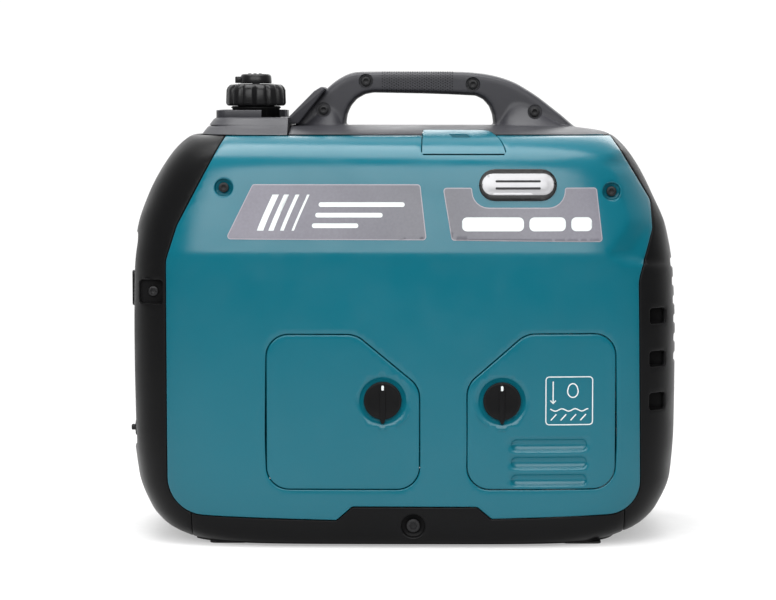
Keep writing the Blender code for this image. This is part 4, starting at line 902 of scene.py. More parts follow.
def loft_mesh(slices):
    """A closed solid through point rings of equal count."""
    count = len(slices[0])
    points = [p for ring in slices for p in ring]
    faces = [tuple(reversed(range(count))), tuple(range(len(points) - count, len(points)))]
    for k in range(len(slices) - 1):
        for i in range(count):
            j = (i + 1) % count
            faces.append((k * count + i, k * count + j, (k + 1) * count + j, (k + 1) * count + i))
    return mesh_of(points, faces)


def prism_mesh(outline, axis, low, high, edge=0.0, steps=3):
    """An outline pushed along X, Y or Z, its end edges rounded by the edge radius."""
    def placed(a, b, c):
        return {"X": (c, a, b), "Y": (a, c, b), "Z": (a, b, c)}[axis]
    levels = [(low, 0.0), (high, 0.0)]
    if edge:
        turns = [math.pi / 2 * k / steps for k in range(steps + 1)]
        levels = [(low + edge * (1 - math.sin(t)), edge * (1 - math.cos(t)))
                  for t in turns[::-1]]
        levels += [(high - edge * (1 - math.sin(t)), edge * (1 - math.cos(t))) for t in turns]
    return loft_mesh([[placed(a, b, c) for a, b in inset(outline, inwards)]
                      for c, inwards in levels])


def block_mesh(low, high, edge=0.0008, corner=0.0015, axis="Y"):
    """A block with rounded corners and edges."""
    a, b, c = {"X": (1, 2, 0), "Y": (0, 2, 1), "Z": (0, 1, 2)}[axis]
    outline = rectangle(low[a], low[b], high[a], high[b], corner)
    return prism_mesh(outline, axis, low[c], high[c], edge)


def oval_steps(power, count):
    """Points evenly turned round a superellipse of unit reach."""
    turns = [2 * math.pi * (k + 0.5) / count for k in range(count)]
    return [(math.copysign(abs(math.cos(t)) ** (2 / power), math.cos(t)),
             math.copysign(abs(math.sin(t)) ** (2 / power), math.sin(t))) for t in turns]


def oval_slice(z, left, right, depth, power, count, middle=0.0):
    """A superellipse ring at a height, reaching left and right of its middle."""
    return [(middle + a * (right if a > 0 else left), depth * b, z)
            for a, b in oval_steps(power, count)]


def merged(*meshes):
    """Several meshes as one, their pieces left apart."""
    work = bmesh.new()
    for mesh in meshes:
        work.from_mesh(mesh)
    mesh = bpy.data.meshes.new("merged")
    work.to_mesh(mesh)
    work.free()
    return mesh


def after_modifiers(mesh, *changes):
    """The mesh once modifiers, given as (type, settings), are applied."""
    holder = bpy.data.objects.new("holder", mesh)
    bpy.context.scene.collection.objects.link(holder)
    for kind, settings in changes:
        modifier = holder.modifiers.new(kind, kind)
        for key, value in settings.items():
            setattr(modifier, key, value)
    graph = bpy.context.evaluated_depsgraph_get()
    done = bpy.data.meshes.new_from_object(holder.evaluated_get(graph))
    bpy.data.objects.remove(holder)
    return done


def fused(mesh, cell, smoothing):
    """Overlapping solids joined into one skin, its inner corners softened."""
    return after_modifiers(
        mesh, ("REMESH", {"mode": "VOXEL", "voxel_size": cell, "use_smooth_shade": True}),
        ("SMOOTH", {"factor": 0.5, "iterations": smoothing}))


def carved(mesh, *tools, operation="DIFFERENCE"):
    """The mesh after exact Booleans with other meshes."""
    for tool in tools:
        cutter = bpy.data.objects.new("cutter", tool)
        bpy.context.scene.collection.objects.link(cutter)
        mesh = after_modifiers(mesh, ("BOOLEAN", {"operation": operation, "solver": "EXACT",
                                                  "object": cutter}))
        bpy.data.objects.remove(cutter)
    return mesh


def half_of(mesh, place, normal):
    """The part of a solid behind a plane, closed where it is cut."""
    work = bmesh.new()
    work.from_mesh(mesh)
    cut = bmesh.ops.bisect_plane(work, geom=[*work.verts, *work.edges, *work.faces],
                                 plane_co=place, plane_no=normal, clear_outer=True, dist=1e-6)
    rim = [e for e in cut["geom_cut"] if isinstance(e, bmesh.types.BMEdge)]
    bmesh.ops.triangle_fill(work, edges=[e for e in rim if e.is_boundary], use_beauty=True)
    bmesh.ops.recalc_face_normals(work, faces=work.faces)
    done = bpy.data.meshes.new("half")
    work.to_mesh(done)
    work.free()
    return done


def auto_smooth(piece, degrees=32):
    """Flat faces stay crisp where they meet at more than the angle."""
    piece.data.shade_smooth()
    work = bmesh.new()
    work.from_mesh(piece.data)
    for e in work.edges:
        e.smooth = e.calc_face_angle(0.0) < math.radians(degrees)
    work.to_mesh(piece.data)
    work.free()
    return piece


# ---------------------------------------------------------------- sunk features
def pill_distance(x, z, cx, cz, half_long, radius):
    """Distance outside a lying pill shape, negative inside."""
    along = np.maximum(np.abs(x - cx) - (half_long - radius), 0.0)
    return np.hypot(along, z - cz) - radius


def pill_outline(cx, cz, half_long, radius):
    """A lying pill's outline, (x, z)."""
    return rectangle(cx - half_long, cz - radius, cx + half_long, cz + radius, radius * 0.999)


def with_sinks(sinks, side=-1, raised=0.0):
    """The housing's side surface, sunk by (distance function, depth, wall width) features."""
    def surface(u, v):
        x, y, z = housing(u, v)
        down = np.full(np.shape(x), -raised)
        for distance, depth, wall in sinks:
            t = np.clip(-distance(x, z) / wall, 0.0, 1.0)
            down = down + depth * t * t * (3 - 2 * t)
        y = y + down
        return x, (y if side < 0 else -y), z
    return surface


def raised_mesh(outlines, raised, thickness, **settings):
    """A thin plate on the service side from (x, z) outlines, its face raised off the surface."""
    return patch_mesh([on_side(outline) for outline in outlines], with_sinks((), raised=raised),
                      thickness, **settings)


def closed_line(outline):
    """An outline as a crease line that ends where it starts."""
    return on_side(outline + outline[:1])


DOOR_GAP = 0.0007
DISH_RADIUS = 0.0222
DISH_DEPTH = 0.0032
KNOB_RADIUS = 0.0172
SLOT_LEVELS = (0.0627, 0.0788, 0.0949)
SLOT_MIDDLE = 0.1335
SLOT_HALF = 0.0352
SLOT_RADIUS = 0.0058


def make_door(name, outline, knob, turn, levels):
    """A door leaf with its knob's dish, position arcs and blind slots."""
    kx, kz = knob
    sinks = [(lambda x, z: np.hypot(x - kx, z - kz) - DISH_RADIUS, DISH_DEPTH, 0.0028)]
    lines = [closed_line(circle(kx, kz, r, 48)) for r in (DISH_RADIUS, DISH_RADIUS - 0.0014,
                                                          DISH_RADIUS - 0.0028)]
    for level in levels:
        sinks.append((lambda x, z, c=level: pill_distance(x, z, SLOT_MIDDLE, c, SLOT_HALF,
                                                          SLOT_RADIUS), 0.0024, 0.0018))
        for less in (0.0, 0.0009, 0.0018):
            lines.append(closed_line(pill_outline(SLOT_MIDDLE, level, SLOT_HALF - less,
                                                  SLOT_RADIUS - less)))
    for start, stop in ((-62, -28), (-98, -80)):
        arc = [math.radians(a) for a in np.linspace(start, stop, 9)]
        if turn < 0:
            arc = [math.pi - a for a in arc]
        inner = [(kx + 0.0262 * math.cos(a), kz + 0.0262 * math.sin(a)) for a in arc]
        outer = [(kx + 0.0275 * math.cos(a), kz + 0.0275 * math.sin(a)) for a in arc[::-1]]
        mark = raised_mesh([inner + outer], 0.00045, 0.0008, edge=0.0002, grid=0.002)
        place_piece(f"{name}_arc_{start + 100}", mark, TEAL, name)
    leaf = inset(rounded(outline, 10), DOOR_GAP)
    mesh = patch_mesh([on_side(spaced(leaf, 0.003))], with_sinks(sinks), WALL, edge=0.0013,
                      grid=0.0046, lines=lines, step=0.003)
    piece = place_piece(name + "_leaf", mesh, TEAL, name)
    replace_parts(piece, name)
    seat = Vector((kx, float(-side_reach(kz)) + DISH_DEPTH + 0.0003, kz))
    boss = turned_mesh([(0.0, -0.0140), (0.0075, -0.0140), (0.0085, -0.0130), (0.0085, 0.0),
                        (0.0, 0.0)], seat, (0, -1, 0), 32)
    place_piece(name + "_boss", boss, TEAL, name)


def make_knob(name, knob):
    """A quarter-turn knob: a dished disc, a waisted finger rib and a pale pointer mark."""
    kx, kz = knob
    face = float(-side_reach(kz))
    profile = [(0.0, 0.0004), (0.0100, 0.0004), (0.0138, 0.0009), (0.0152, 0.0012),
               (0.0166, 0.0008), (KNOB_RADIUS, 0.0), (KNOB_RADIUS, -0.0026), (0.0, -0.0026)]
    disc = turned_mesh(profile[::-1], (kx, face, kz), (0, -1, 0), 64)
    piece = auto_smooth(place_piece(name + "_disc", disc, BLACK, name))
    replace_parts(piece, name)
    half = []
    for t in np.linspace(0.0, 1.0, 17):
        z = kz - 0.0208 + 0.0372 * t
        wide = 0.0034 - 0.0008 * math.sin(math.pi * t)
        half.append((wide * min(1.0, 4.5 * min(t, 1 - t) + 0.35), z))
    outline = [(kx + w, z) for w, z in half] + [(kx - w, z) for w, z in half[::-1]]
    rib = prism_mesh(outline, "Y", face - 0.0014, face + 0.0012, 0.0007)
    auto_smooth(place_piece(name + "_rib", rib, BLACK, name), 50)
    mark = prism_mesh(rectangle(kx - 0.0011, kz + 0.0095, kx + 0.0011, kz + 0.0140, 0.0009),
                      "Y", face - 0.00144, face - 0.0012)
    place_piece(name + "_mark", mark, WHITE_INK, name, smooth=False)


make_door("carburetor_door", CARBURETOR_DOOR, CARBURETOR_KNOB, 1, ())
make_door("oil_door", OIL_DOOR, OIL_KNOB, -1, SLOT_LEVELS)
make_knob("carburetor_door_knob", CARBURETOR_KNOB)
make_knob("oil_door_knob", OIL_KNOB)


# ---------------------------------------------------------------- screws
def screw_mesh(centre, side, radius, tall, depth):
    """A socket cap screw's head seen from its side of the housing, and a stub of shank."""
    steps = 48
    top = radius - 0.0008
    hexagon = radius * 0.56

    def hex_reach(angle):
        return hexagon * math.cos(math.pi / 6) / math.cos((angle % (math.pi / 3)) - math.pi / 6)

    rings = [
        [(0.0016, -0.0030)] * steps, [(0.0022, -0.0030)] * steps, [(0.0022, 0.0)] * steps,
        [(radius - 0.0002, 0.0)] * steps, [(radius, 0.0004)] * steps,
        [(radius, tall - 0.0008)] * steps, [(radius - 0.0003, tall - 0.0002)] * steps,
        [(top, tall)] * steps,
        [(hex_reach(2 * math.pi * k / steps) + 0.0002, tall) for k in range(steps)],
        [(hex_reach(2 * math.pi * k / steps), tall - 0.0003) for k in range(steps)],
        [(hex_reach(2 * math.pi * k / steps), tall - depth) for k in range(steps)],
        [(0.0006, tall - depth - 0.0004)] * steps,
    ]
    x, y, z = centre
    return loft_mesh([[(x + r * c, y + side * h, z + r * s)
                       for (r, h), (c, s) in zip(ring, round_steps_of(steps))]
                      for ring in rings])


HEAD_TALL = 0.0030
SOCKET_DEPTH = 0.0020


def make_screws():
    """Every screw in the frame, with a hex socket, and its double on the recoil side."""
    for name in slots:
        if "screw" not in name:
            continue
        low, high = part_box(name)
        radius = (high.x - low.x) / 2
        centre = at_node(name)
        centre.y = low.y + HEAD_TALL
        near = screw_mesh(centre, -1, radius, HEAD_TALL, SOCKET_DEPTH)
        # the heads take the near-black steel, partly painted shade of their recesses
        piece = auto_smooth(place_piece(name + "_head", near, DARK_STEEL, "housing"), 40)
        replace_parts(piece, name)
        centre.y = -centre.y
        far = screw_mesh(centre, 1, radius, HEAD_TALL, SOCKET_DEPTH)
        auto_smooth(place_piece(name + "_far_head", far, DARK_STEEL, "housing"), 40)


make_screws()

# ---------------------------------------------------------------- handle and crown
# (length, height) along the handle's top, and round its opening
HANDLE_TOP = (
    (-0.1040, 0.3770), (-0.1022, 0.3860), (-0.1000, 0.3893), (-0.0735, 0.4178),
    (-0.0625, 0.4270), (-0.0502, 0.4331), (-0.0435, 0.4343), (-0.0226, 0.4347),
    (0.0135, 0.4347), (0.0439, 0.4345), (0.0591, 0.4341), (0.0724, 0.4330), (0.0819, 0.4315),
    (0.0914, 0.4292), (0.1047, 0.4244), (0.1161, 0.4180), (0.1275, 0.4105), (0.1389, 0.4017),
    (0.1504, 0.3926), (0.1618, 0.3828), (0.1700, 0.3765),
)
HANDLE_OPENING = (
    (0.0855, 0.3700), (0.0846, 0.3878), (0.0836, 0.3944), (0.0807, 0.4020), (0.0751, 0.4083),
    (0.0680, 0.4117), (0.0420, 0.4130), (0.0154, 0.4138), (-0.0286, 0.4146),
    (-0.0366, 0.4131), (-0.0442, 0.4088), (-0.0499, 0.4020), (-0.0532, 0.3944),
    (-0.0542, 0.3878), (-0.0545, 0.3700),
)
GRIP_HALF = 0.0180
CROWN_LEFT = -0.1062


def envelope_ring(z, offset=0.0):
    """The housing's outline at a height, moved inwards by the offset."""
    around = np.linspace(-PERIMETER, PERIMETER, 241)[:-1]
    x, y, _ = housing(around, np.full(240, climb_of(z)))
    ring = inset(list(zip(x, y)), offset) if offset else list(zip(x, y))
    return [(a, b, z) for a, b in ring]


def leg_mesh(low, high, half_low, half_high, middle_low, middle_high, reach_low, reach_high):
    """A flared handle leg between two heights."""
    rings = []
    for k in range(13):
        t = k / 12
        ease = (1 - t) ** 2
        reach = reach_high + (reach_low - reach_high) * ease
        rings.append(oval_slice(low + (high - low) * t, reach, reach,
                                half_high + (half_low - half_high) * ease, 2.6, 64,
                                middle_high + (middle_low - middle_high) * (1 - t)))
    return loft_mesh(rings)


def rounded_across(outline):
    """A solid of an outline across the grip, drawn in towards its two faces."""
    rings = []
    for t in np.linspace(-1, 1, 15):
        angle = t * math.pi / 2
        y = GRIP_HALF * math.copysign(abs(math.sin(angle)) ** 0.8, t)
        inwards = 0.0055 * (1 - max(1 - abs(y / GRIP_HALF) ** 3.2, 0.0) ** (1 / 3.2))
        rings.append([(a, y, b) for a, b in inset(outline, inwards)])
    return loft_mesh(rings)


def make_handle():
    """The two handle mouldings with the body's crown, parted down the middle."""
    crest = smooth_curve(HANDLE_TOP)
    lengths = np.linspace(HANDLE_TOP[0][0], HANDLE_TOP[-1][0], 110)
    core = rounded_across([(float(a), float(crest(a))) for a in lengths])
    grip_hole = spaced(HANDLE_OPENING, 0.002)
    wide_hole = []
    for t in np.linspace(-1, 1, 13):
        y = 0.070 * t
        grow = 0.0045 * (1 - max(1 - min(abs(y) / GRIP_HALF, 1.0) ** 3.2, 0.0) ** (1 / 3.2))
        wide_hole.append([(a, y, b) for a, b in inset(grip_hole, -grow)])
    legs = (leg_mesh(0.3745, 0.4120, 0.0466, 0.0168, 0.1255, 0.1025, 0.0450, 0.0160),
            leg_mesh(0.3745, 0.4080, 0.0406, 0.0168, -0.0772, -0.0685, 0.0255, 0.0120))
    handle = fused(merged(core, *legs), 0.0011, 3)
    handle = carved(handle, loft_mesh(wide_hole))
    levels = (0.3768, 0.3785, 0.3800, 0.3815, 0.3828, CREST_Z)
    crown = loft_mesh([envelope_ring(0.37595, 0.0006), envelope_ring(0.3763)]
                      + [envelope_ring(z) for z in levels])
    crown = half_of(crown, (CROWN_LEFT, 0, 0), (-1, 0, 0))
    whole = fused(merged(handle, crown), 0.0011, 7)
    hollow = loft_mesh([envelope_ring(0.3700, WALL), envelope_ring(0.3780, WALL),
                        envelope_ring(0.3806, WALL)])
    room = prism_mesh(rectangle(-0.1000, -0.1200, 0.2000, 0.1200, 0.004), "Z", 0.3660, 0.3808)
    whole = carved(whole, carved(hollow, room, operation="INTERSECT"))
    for side, node in ((-1, "handle_near_half"), (1, "handle_far_half")):
        half = half_of(whole, (0, side * 0.00015, 0), (0, -side, 0))
        tools = []
        for k in range(1, 5):
            middle = at_node(f"handle_screw_{k}")
            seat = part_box(f"handle_screw_{k}")[0].y + HEAD_TALL
            profile = [(0.0, 0.0), (0.0066, 0.0), (0.0069, 0.0006), (0.0069, 0.03), (0.0, 0.03)]
            tools.append(turned_mesh(profile, (middle.x, -side * seat, middle.z), (0, side, 0), 40))
        if side < 0:
            tools.append(prism_mesh(rounded(LID_OUTLINE, 6), "Z", LID_LOWEST, 0.3830))
        half = carved(half, *tools)
        piece = auto_smooth(place_piece(node + "_moulding", half, GREY, "housing"), 40)
        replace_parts(piece, node)
    return whole


handle_skin = make_handle()


def make_grip_texture():
    """Rows of small raised diamonds wrapped round the grip."""
    tree = BVHTree.FromPolygons([v.co for v in handle_skin.vertices],
                                [tuple(p.vertices) for p in handle_skin.polygons])
    points, faces = [], []
    middle_z = 0.4245
    for column in range(31):
        x = -0.0200 + 0.0022 * column
        for row in range(38):
            angle = math.radians(-60 + 300 * (row + 0.5 * (column % 2)) / 38)
            way = Vector((0, -math.cos(angle), math.sin(angle)))
            hit, normal, _, _ = tree.ray_cast(Vector((x, 0, middle_z)) + way * 0.05, -way)
            if hit is None or normal.dot(way) < 0.2:
                continue
            if hit.z < 0.4158 or hit.z > 0.43475:
                continue
            across = normal.cross(Vector((1, 0, 0))).normalized()
            base = len(points)
            sink = hit - normal * 0.0003
            rise = 0.00055 if hit.z < 0.4342 else 0.0001
            points += [sink + Vector((0.00105, 0, 0)), sink + across * 0.00105,
                       sink - Vector((0.00105, 0, 0)), sink - across * 0.00105,
                       hit + normal * rise, hit - normal * 0.0008]
            for k in range(4):
                faces.append((base + k, base + (k + 1) % 4, base + 4))
                faces.append((base + (k + 1) % 4, base + k, base + 5))
    place_piece("grip_texture", mesh_of(points, faces), BLACK, "housing",
                smooth=False)


make_grip_texture()


def make_lid():
    """The spark plug lid: a leaf of the shoulder that rises onto the crown, with a pry slot."""
    grown = inset(rounded(LID_OUTLINE, 8), DOOR_GAP)
    levels = np.append(np.linspace(LID_LOWEST - 0.002, 0.3826, 20), CREST_Z)
    outer = loft_mesh([envelope_ring(float(z)) for z in levels])
    inner = loft_mesh([envelope_ring(float(z), WALL) for z in levels[:-1] - 0.0018])
    region = prism_mesh(grown, "Z", LID_LOWEST + 0.0008, 0.3900, 0.0, 2)
    leaf = carved(carved(outer, inner), region, operation="INTERSECT")
    slot = rounded(((0.0455, -0.0990, 0.0008), (0.0624, -0.0990, 0.0008),
                    (0.0591, -0.0850, 0.0008), (0.0421, -0.0850, 0.0008)), 3)
    leaf = carved(leaf, prism_mesh(slot, "Z", 0.3600, 0.39))
    floor = loft_mesh([envelope_ring(float(z), 0.0014) for z in levels[:-1] - 0.0012])
    floor = carved(carved(floor, inner), prism_mesh(inset(slot, -0.0004), "Z", 0.3600, 0.3890),
                   operation="INTERSECT")
    # the slot's floor takes the darker teal copy: painted shade inside the slot
    auto_smooth(place_piece("plug_lid_slot_floor", floor, TEAL_PAINTED_SHADE, "spark_plug_lid"), 25)
    piece = auto_smooth(place_piece("plug_lid_leaf", leaf, TEAL, "spark_plug_lid"), 25)
    bevel = piece.modifiers.new("edges", "BEVEL")
    bevel.width = 0.0006
    bevel.segments = 2
    bevel.limit_method = "ANGLE"
    bevel.angle_limit = math.radians(50)
    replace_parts(piece, "spark_plug_lid")


make_lid()


def make_seam_flange():
    """A flange under the crown's seam, which closes the view into the housing."""
    outer = [(x, y) for x, y, _ in envelope_ring(0.3722, 0.0080)]
    middle = sum(x for x, _ in outer) / len(outer)
    inner = [(middle + 0.84 * (x - middle), 0.72 * y) for x, y in outer]
    flange = carved(prism_mesh(outer, "Z", 0.3706, 0.3718),
                    prism_mesh(inner, "Z", 0.3600, 0.3800),
                    prism_mesh(inset(rounded(LID_OUTLINE, 8), -0.0010), "Z", 0.3600, 0.3800))
    place_plain("seam_flange", flange)


make_seam_flange()


# ---------------------------------------------------------------- tank cover and fuel cap
DECK_Z = 0.3915
COVER_MIDDLE = -0.1010
COVER_RIGHT = -0.1070
CAP_CENTRE = (-0.1405, 0.0)
CAP_BOTTOM_Z = 0.4022
CAP_TOP_Z = 0.4230
CAP_RADIUS = 0.0285
NECK_RADIUS = 0.0225
COVER_SEAM_Z = 0.3838


def cover_ring(z, inwards=0.0):
    """The tank cover's outline at a height."""
    levels = (0.3758, 0.3830, 0.3890, DECK_Z)
    left = np.interp(z, levels, (0.0890, 0.0835, 0.0790, 0.0765)) - inwards
    depth = np.interp(z, levels, (0.0900, 0.0760, 0.0690, 0.0660)) - inwards
    return oval_slice(z, left, 0.0600, depth, 4.0, 120, COVER_MIDDLE)


def make_tank_cover():
    """The raised deck round the filler, in two tiers, with its drip fence and ramp."""
    low = 0.37585
    tiers = []
    for bottom, top in ((low, COVER_SEAM_Z), (COVER_SEAM_Z + 0.0005, DECK_Z)):
        rings = [cover_ring(bottom, 0.0006), cover_ring(bottom + 0.0005)]
        rings += [cover_ring(float(z)) for z in np.linspace(bottom + 0.0012, top - 0.0016, 6)]
        rings += [cover_ring(top - 0.0016 + 0.0016 * math.sin(t), 0.0016 * (1 - math.cos(t)))
                  for t in (0.5, 1.0, math.pi / 2)]
        tiers.append(loft_mesh(rings))
    core = loft_mesh([cover_ring(low + 0.001, 0.0016), cover_ring(DECK_Z - 0.003, 0.0016)])
    cover = carved(tiers[0], core, tiers[1], operation="UNION")
    hollow = loft_mesh([cover_ring(low - 0.002, 0.0050), cover_ring(DECK_Z - WALL, 0.0050)])
    cover = half_of(cover, (COVER_RIGHT, 0, 0), (1, 0, 0))
    x, y = CAP_CENTRE
    hole = turned_mesh([(0.0, -0.04), (NECK_RADIUS + 0.004, -0.04), (NECK_RADIUS + 0.004, 0.0002),
                        (NECK_RADIUS + 0.0055, 0.0002), (NECK_RADIUS + 0.0055, 0.02),
                        (0.0, 0.02)], (x, y, DECK_Z - 0.0012), (0, 0, 1), 64)
    hollow = half_of(hollow, (COVER_RIGHT - WALL, 0, 0), (1, 0, 0))
    cover = carved(cover, hollow, hole)
    piece = auto_smooth(place_piece("tank_cover_deck", cover, GREY, "housing"), 30)
    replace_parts(piece, "tank_top_cover")
    ramp = rounded(((-0.1125, 0.3852, 0.0), (-0.0990, 0.3852, 0.0), (-0.0722, 0.4189, 0.002),
                    (-0.0772, 0.4203, 0.003), (-0.0840, 0.4162, 0.006), (-0.1078, 0.3922, 0.003),
                    (-0.1125, 0.3918, 0.0)), 6)
    ramp_mesh = prism_mesh(ramp, "Y", -0.0310, 0.0310, 0.0018)
    auto_smooth(place_piece("cover_ramp", ramp_mesh, GREY, "housing"), 35)
    fence = rounded(((-0.1760, -0.0450, 0.012), (-0.1108, -0.0450, 0.004),
                     (-0.1108, 0.0450, 0.012), (-0.1760, 0.0450, 0.012)), 10)
    wall = prism_mesh(fence, "Z", DECK_Z - 0.001, DECK_Z + 0.0068, 0.0007)
    wall = carved(wall, prism_mesh(inset(fence, 0.0022), "Z", 0.38, 0.41),
                  block_mesh((-0.1330, -0.08, 0.38), (-0.08, 0.0, 0.41)))
    auto_smooth(place_piece("drip_fence", wall, GREY, "housing"), 35)
    neck = [(NECK_RADIUS - 0.0026, -0.0150), (NECK_RADIUS, -0.0150), (NECK_RADIUS, 0.0080),
            (NECK_RADIUS + 0.0011, 0.0086), (NECK_RADIUS + 0.0011, 0.0096),
            (NECK_RADIUS, 0.0102), (NECK_RADIUS - 0.0026, 0.0102),
            (NECK_RADIUS - 0.0026, -0.0150)]
    place_piece("filler_collar", turned_mesh(neck, (x, y, DECK_Z), (0, 0, 1), 64), BLACK,
                "housing")


def make_fuel_cap():
    """The cap's fluted grip with a stepped crown, and the vent knob with its pointer."""
    steps = 168
    x, y = CAP_CENTRE
    flutes = 14
    tall = CAP_TOP_Z - CAP_BOTTOM_Z

    def ring(radius, height, bite):
        points = []
        for k in range(steps):
            angle = 2 * math.pi * k / steps
            phase = (angle * flutes / (2 * math.pi)) % 1.0
            groove = math.exp(-((phase - 0.5) / 0.13) ** 2)
            reach = radius - bite * groove
            points.append((x + reach * math.cos(angle), y + reach * math.sin(angle),
                           CAP_BOTTOM_Z + height))
        return points

    rings = [ring(0.0010, 0.0, 0.0), ring(CAP_RADIUS - 0.0030, 0.0, 0.0),
             ring(CAP_RADIUS - 0.0018, 0.0002, 0.0012), ring(CAP_RADIUS - 0.0004, 0.0014, 0.0022),
             ring(CAP_RADIUS, 0.0030, 0.0026), ring(CAP_RADIUS - 0.0004, tall - 0.0060, 0.0026),
             ring(CAP_RADIUS - 0.0014, tall - 0.0036, 0.0020),
             ring(CAP_RADIUS - 0.0034, tall - 0.0014, 0.0006),
             ring(CAP_RADIUS - 0.0048, tall - 0.0006, 0.0), ring(0.0205, tall - 0.0004, 0.0),
             ring(0.0198, tall - 0.0012, 0.0), ring(0.0176, tall - 0.0012, 0.0),
             ring(0.0170, tall, 0.0), ring(0.0010, tall, 0.0)]
    grip = auto_smooth(place_piece("fuel_cap_grip", loft_mesh(rings), SATIN_BLACK, "fuel_cap"), 38)
    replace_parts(grip, "fuel_cap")
    low = CAP_TOP_Z + 0.0003
    profile = [(0.0, 0.0090), (0.0122, 0.0090), (0.0136, 0.0084), (0.0145, 0.0070),
               (0.0150, 0.0012), (0.0146, 0.0), (0.0036, 0.0), (0.0036, -0.0040), (0.0, -0.0040)]
    knob = turned_mesh(profile, (x, y, low), (0, 0, 1), 64)
    place = auto_smooth(place_piece("vent_knob_body", knob, SATIN_BLACK, "vent_knob"), 40)
    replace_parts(place, "vent_knob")
    tab = block_mesh((x - 0.0198, y - 0.0032, low + 0.0004), (x - 0.0110, y + 0.0032, low + 0.0066),
                     0.0008, 0.0020, "Z")
    place_piece("vent_knob_pointer", tab, SATIN_BLACK, "vent_knob")
    for k in range(3):
        bar = block_mesh((x - 0.0070 + 0.0050 * k, y - 0.0070, low + 0.0086),
                         (x - 0.0046 + 0.0050 * k, y + 0.0070, low + 0.0096), 0.0003, 0.0010, "Z")
        place_piece(f"vent_knob_rib_{k}", bar, SATIN_BLACK, "vent_knob")


make_tank_cover()
make_fuel_cap()


# ---------------------------------------------------------------- decals, badge and marks
def faded(name, left, right, low, high):
    """A printed film whose colour runs from left to right between two lengths."""
    made = paint(name, left, 0.42, grain=1400, depth=0.00002, patchy=0.02)
    tree = made.node_tree
    shader = tree.nodes["Principled BSDF"]
    split = tree.nodes.new("ShaderNodeSeparateXYZ")
    where = tree.nodes.new("ShaderNodeTexCoord").outputs["Object"]
    link(tree, where, split.inputs[0])
    along = spread(tree, split.outputs["X"], 0.0, 1.0, low, high)
    speck = spread(tree, noise(tree, where, 420.0, 3.0), 0.92, 1.05)
    mixing = tree.nodes.new("ShaderNodeMix")
    mixing.data_type = "RGBA"
    mixing.blend_type = "MULTIPLY"
    mixing.inputs["Factor"].default_value = 1.0
    link(tree, mixed(tree, along, left, right), mixing.inputs["A"])
    link(tree, speck, mixing.inputs["B"])
    link(tree, mixing.outputs["Result"], shader.inputs["Base Color"])
    return made


FILM_LEFT = faded("left_film", (0.155, 0.148, 0.178), (0.105, 0.105, 0.122), -0.150, 0.015)
FILM_RIGHT = faded("right_film", (0.110, 0.110, 0.126), (0.150, 0.146, 0.172), 0.040, 0.180)


def film(name, outline, raised, paint_used, body="housing"):
    """A thin printed film on the side, its face raised off the surface."""
    mesh = raised_mesh([outline], raised, raised + 0.0002, edge=0.00005, grid=0.003, step=0.002,
                       round_steps=1)
    return auto_smooth(place_piece(name, mesh, paint_used, body), 15)


def stroke(points, width):
    """An outline that follows a line at a width."""
    left, right = [], []
    for k, p in enumerate(points):
        a = Vector(points[max(k - 1, 0)])
        b = Vector(points[min(k + 1, len(points) - 1)])
        way = (b - a).normalized()
        normal = Vector((-way.y, way.x)) * (width / 2)
        left.append(tuple(Vector(p) + normal))
        right.append(tuple(Vector(p) - normal))
    return left + right[::-1]


LEFT_DECAL = ((-0.1363, 0.3318, 0.003), (-0.1608, 0.2820, 0.003), (0.0219, 0.2815, 0.003),
              (0.0161, 0.3318, 0.003))
RIGHT_DECAL = ((0.0366, 0.3287, 0.003), (0.0446, 0.2812, 0.003), (0.1818, 0.2796, 0.003),
               (0.1766, 0.3287, 0.003), (0.1475, 0.3287, 0.002), (0.1466, 0.3107, 0.015),
               (0.0643, 0.3107, 0.015), (0.0630, 0.3287, 0.002))
BADGE = (0.1048, 0.3314, 0.0355, 0.0145)


def make_decals():
    """Two printed films with plain striped graphics, each in a pale border."""
    for name, corners, ink in (("left_decal", LEFT_DECAL, FILM_LEFT),
                               ("right_decal", RIGHT_DECAL, FILM_RIGHT)):
        outline = spaced(rounded(corners, 6), 0.004)
        film(name + "_border", outline, 0.00028, PLATE_LINE)
        film(name, inset(outline, 0.0008), 0.00044, ink)
    for k in range(4):
        low, high, lean = 0.2900, 0.3225, 0.0140
        start = -0.1320 + 0.0105 * k
        wide = 0.0058 - 0.0012 * k
        bar = [(start, low), (start + wide, low), (start + wide + lean, high),
               (start + lean, high)]
        film(f"left_decal_stripe_{k}", bar, 0.00062, WHITE_INK)
    for k, (high, start, stop) in enumerate(((0.3135, -0.0760, 0.0020), (0.3040, -0.0790, -0.0180),
                                             (0.2945, -0.0820, -0.0400))):
        bar = rectangle(start, high - 0.0021, stop, high + 0.0021, 0.0020)
        film(f"left_decal_bar_{k}", bar, 0.00062, WHITE_INK)
    for k, (start, stop) in enumerate(((0.0540, 0.1100), (0.1150, 0.1480), (0.1530, 0.1720))):
        bar = rectangle(start, 0.2895, stop, 0.3020, 0.0045)
        film(f"right_decal_bar_{k}", bar, 0.00062, WHITE_INK)


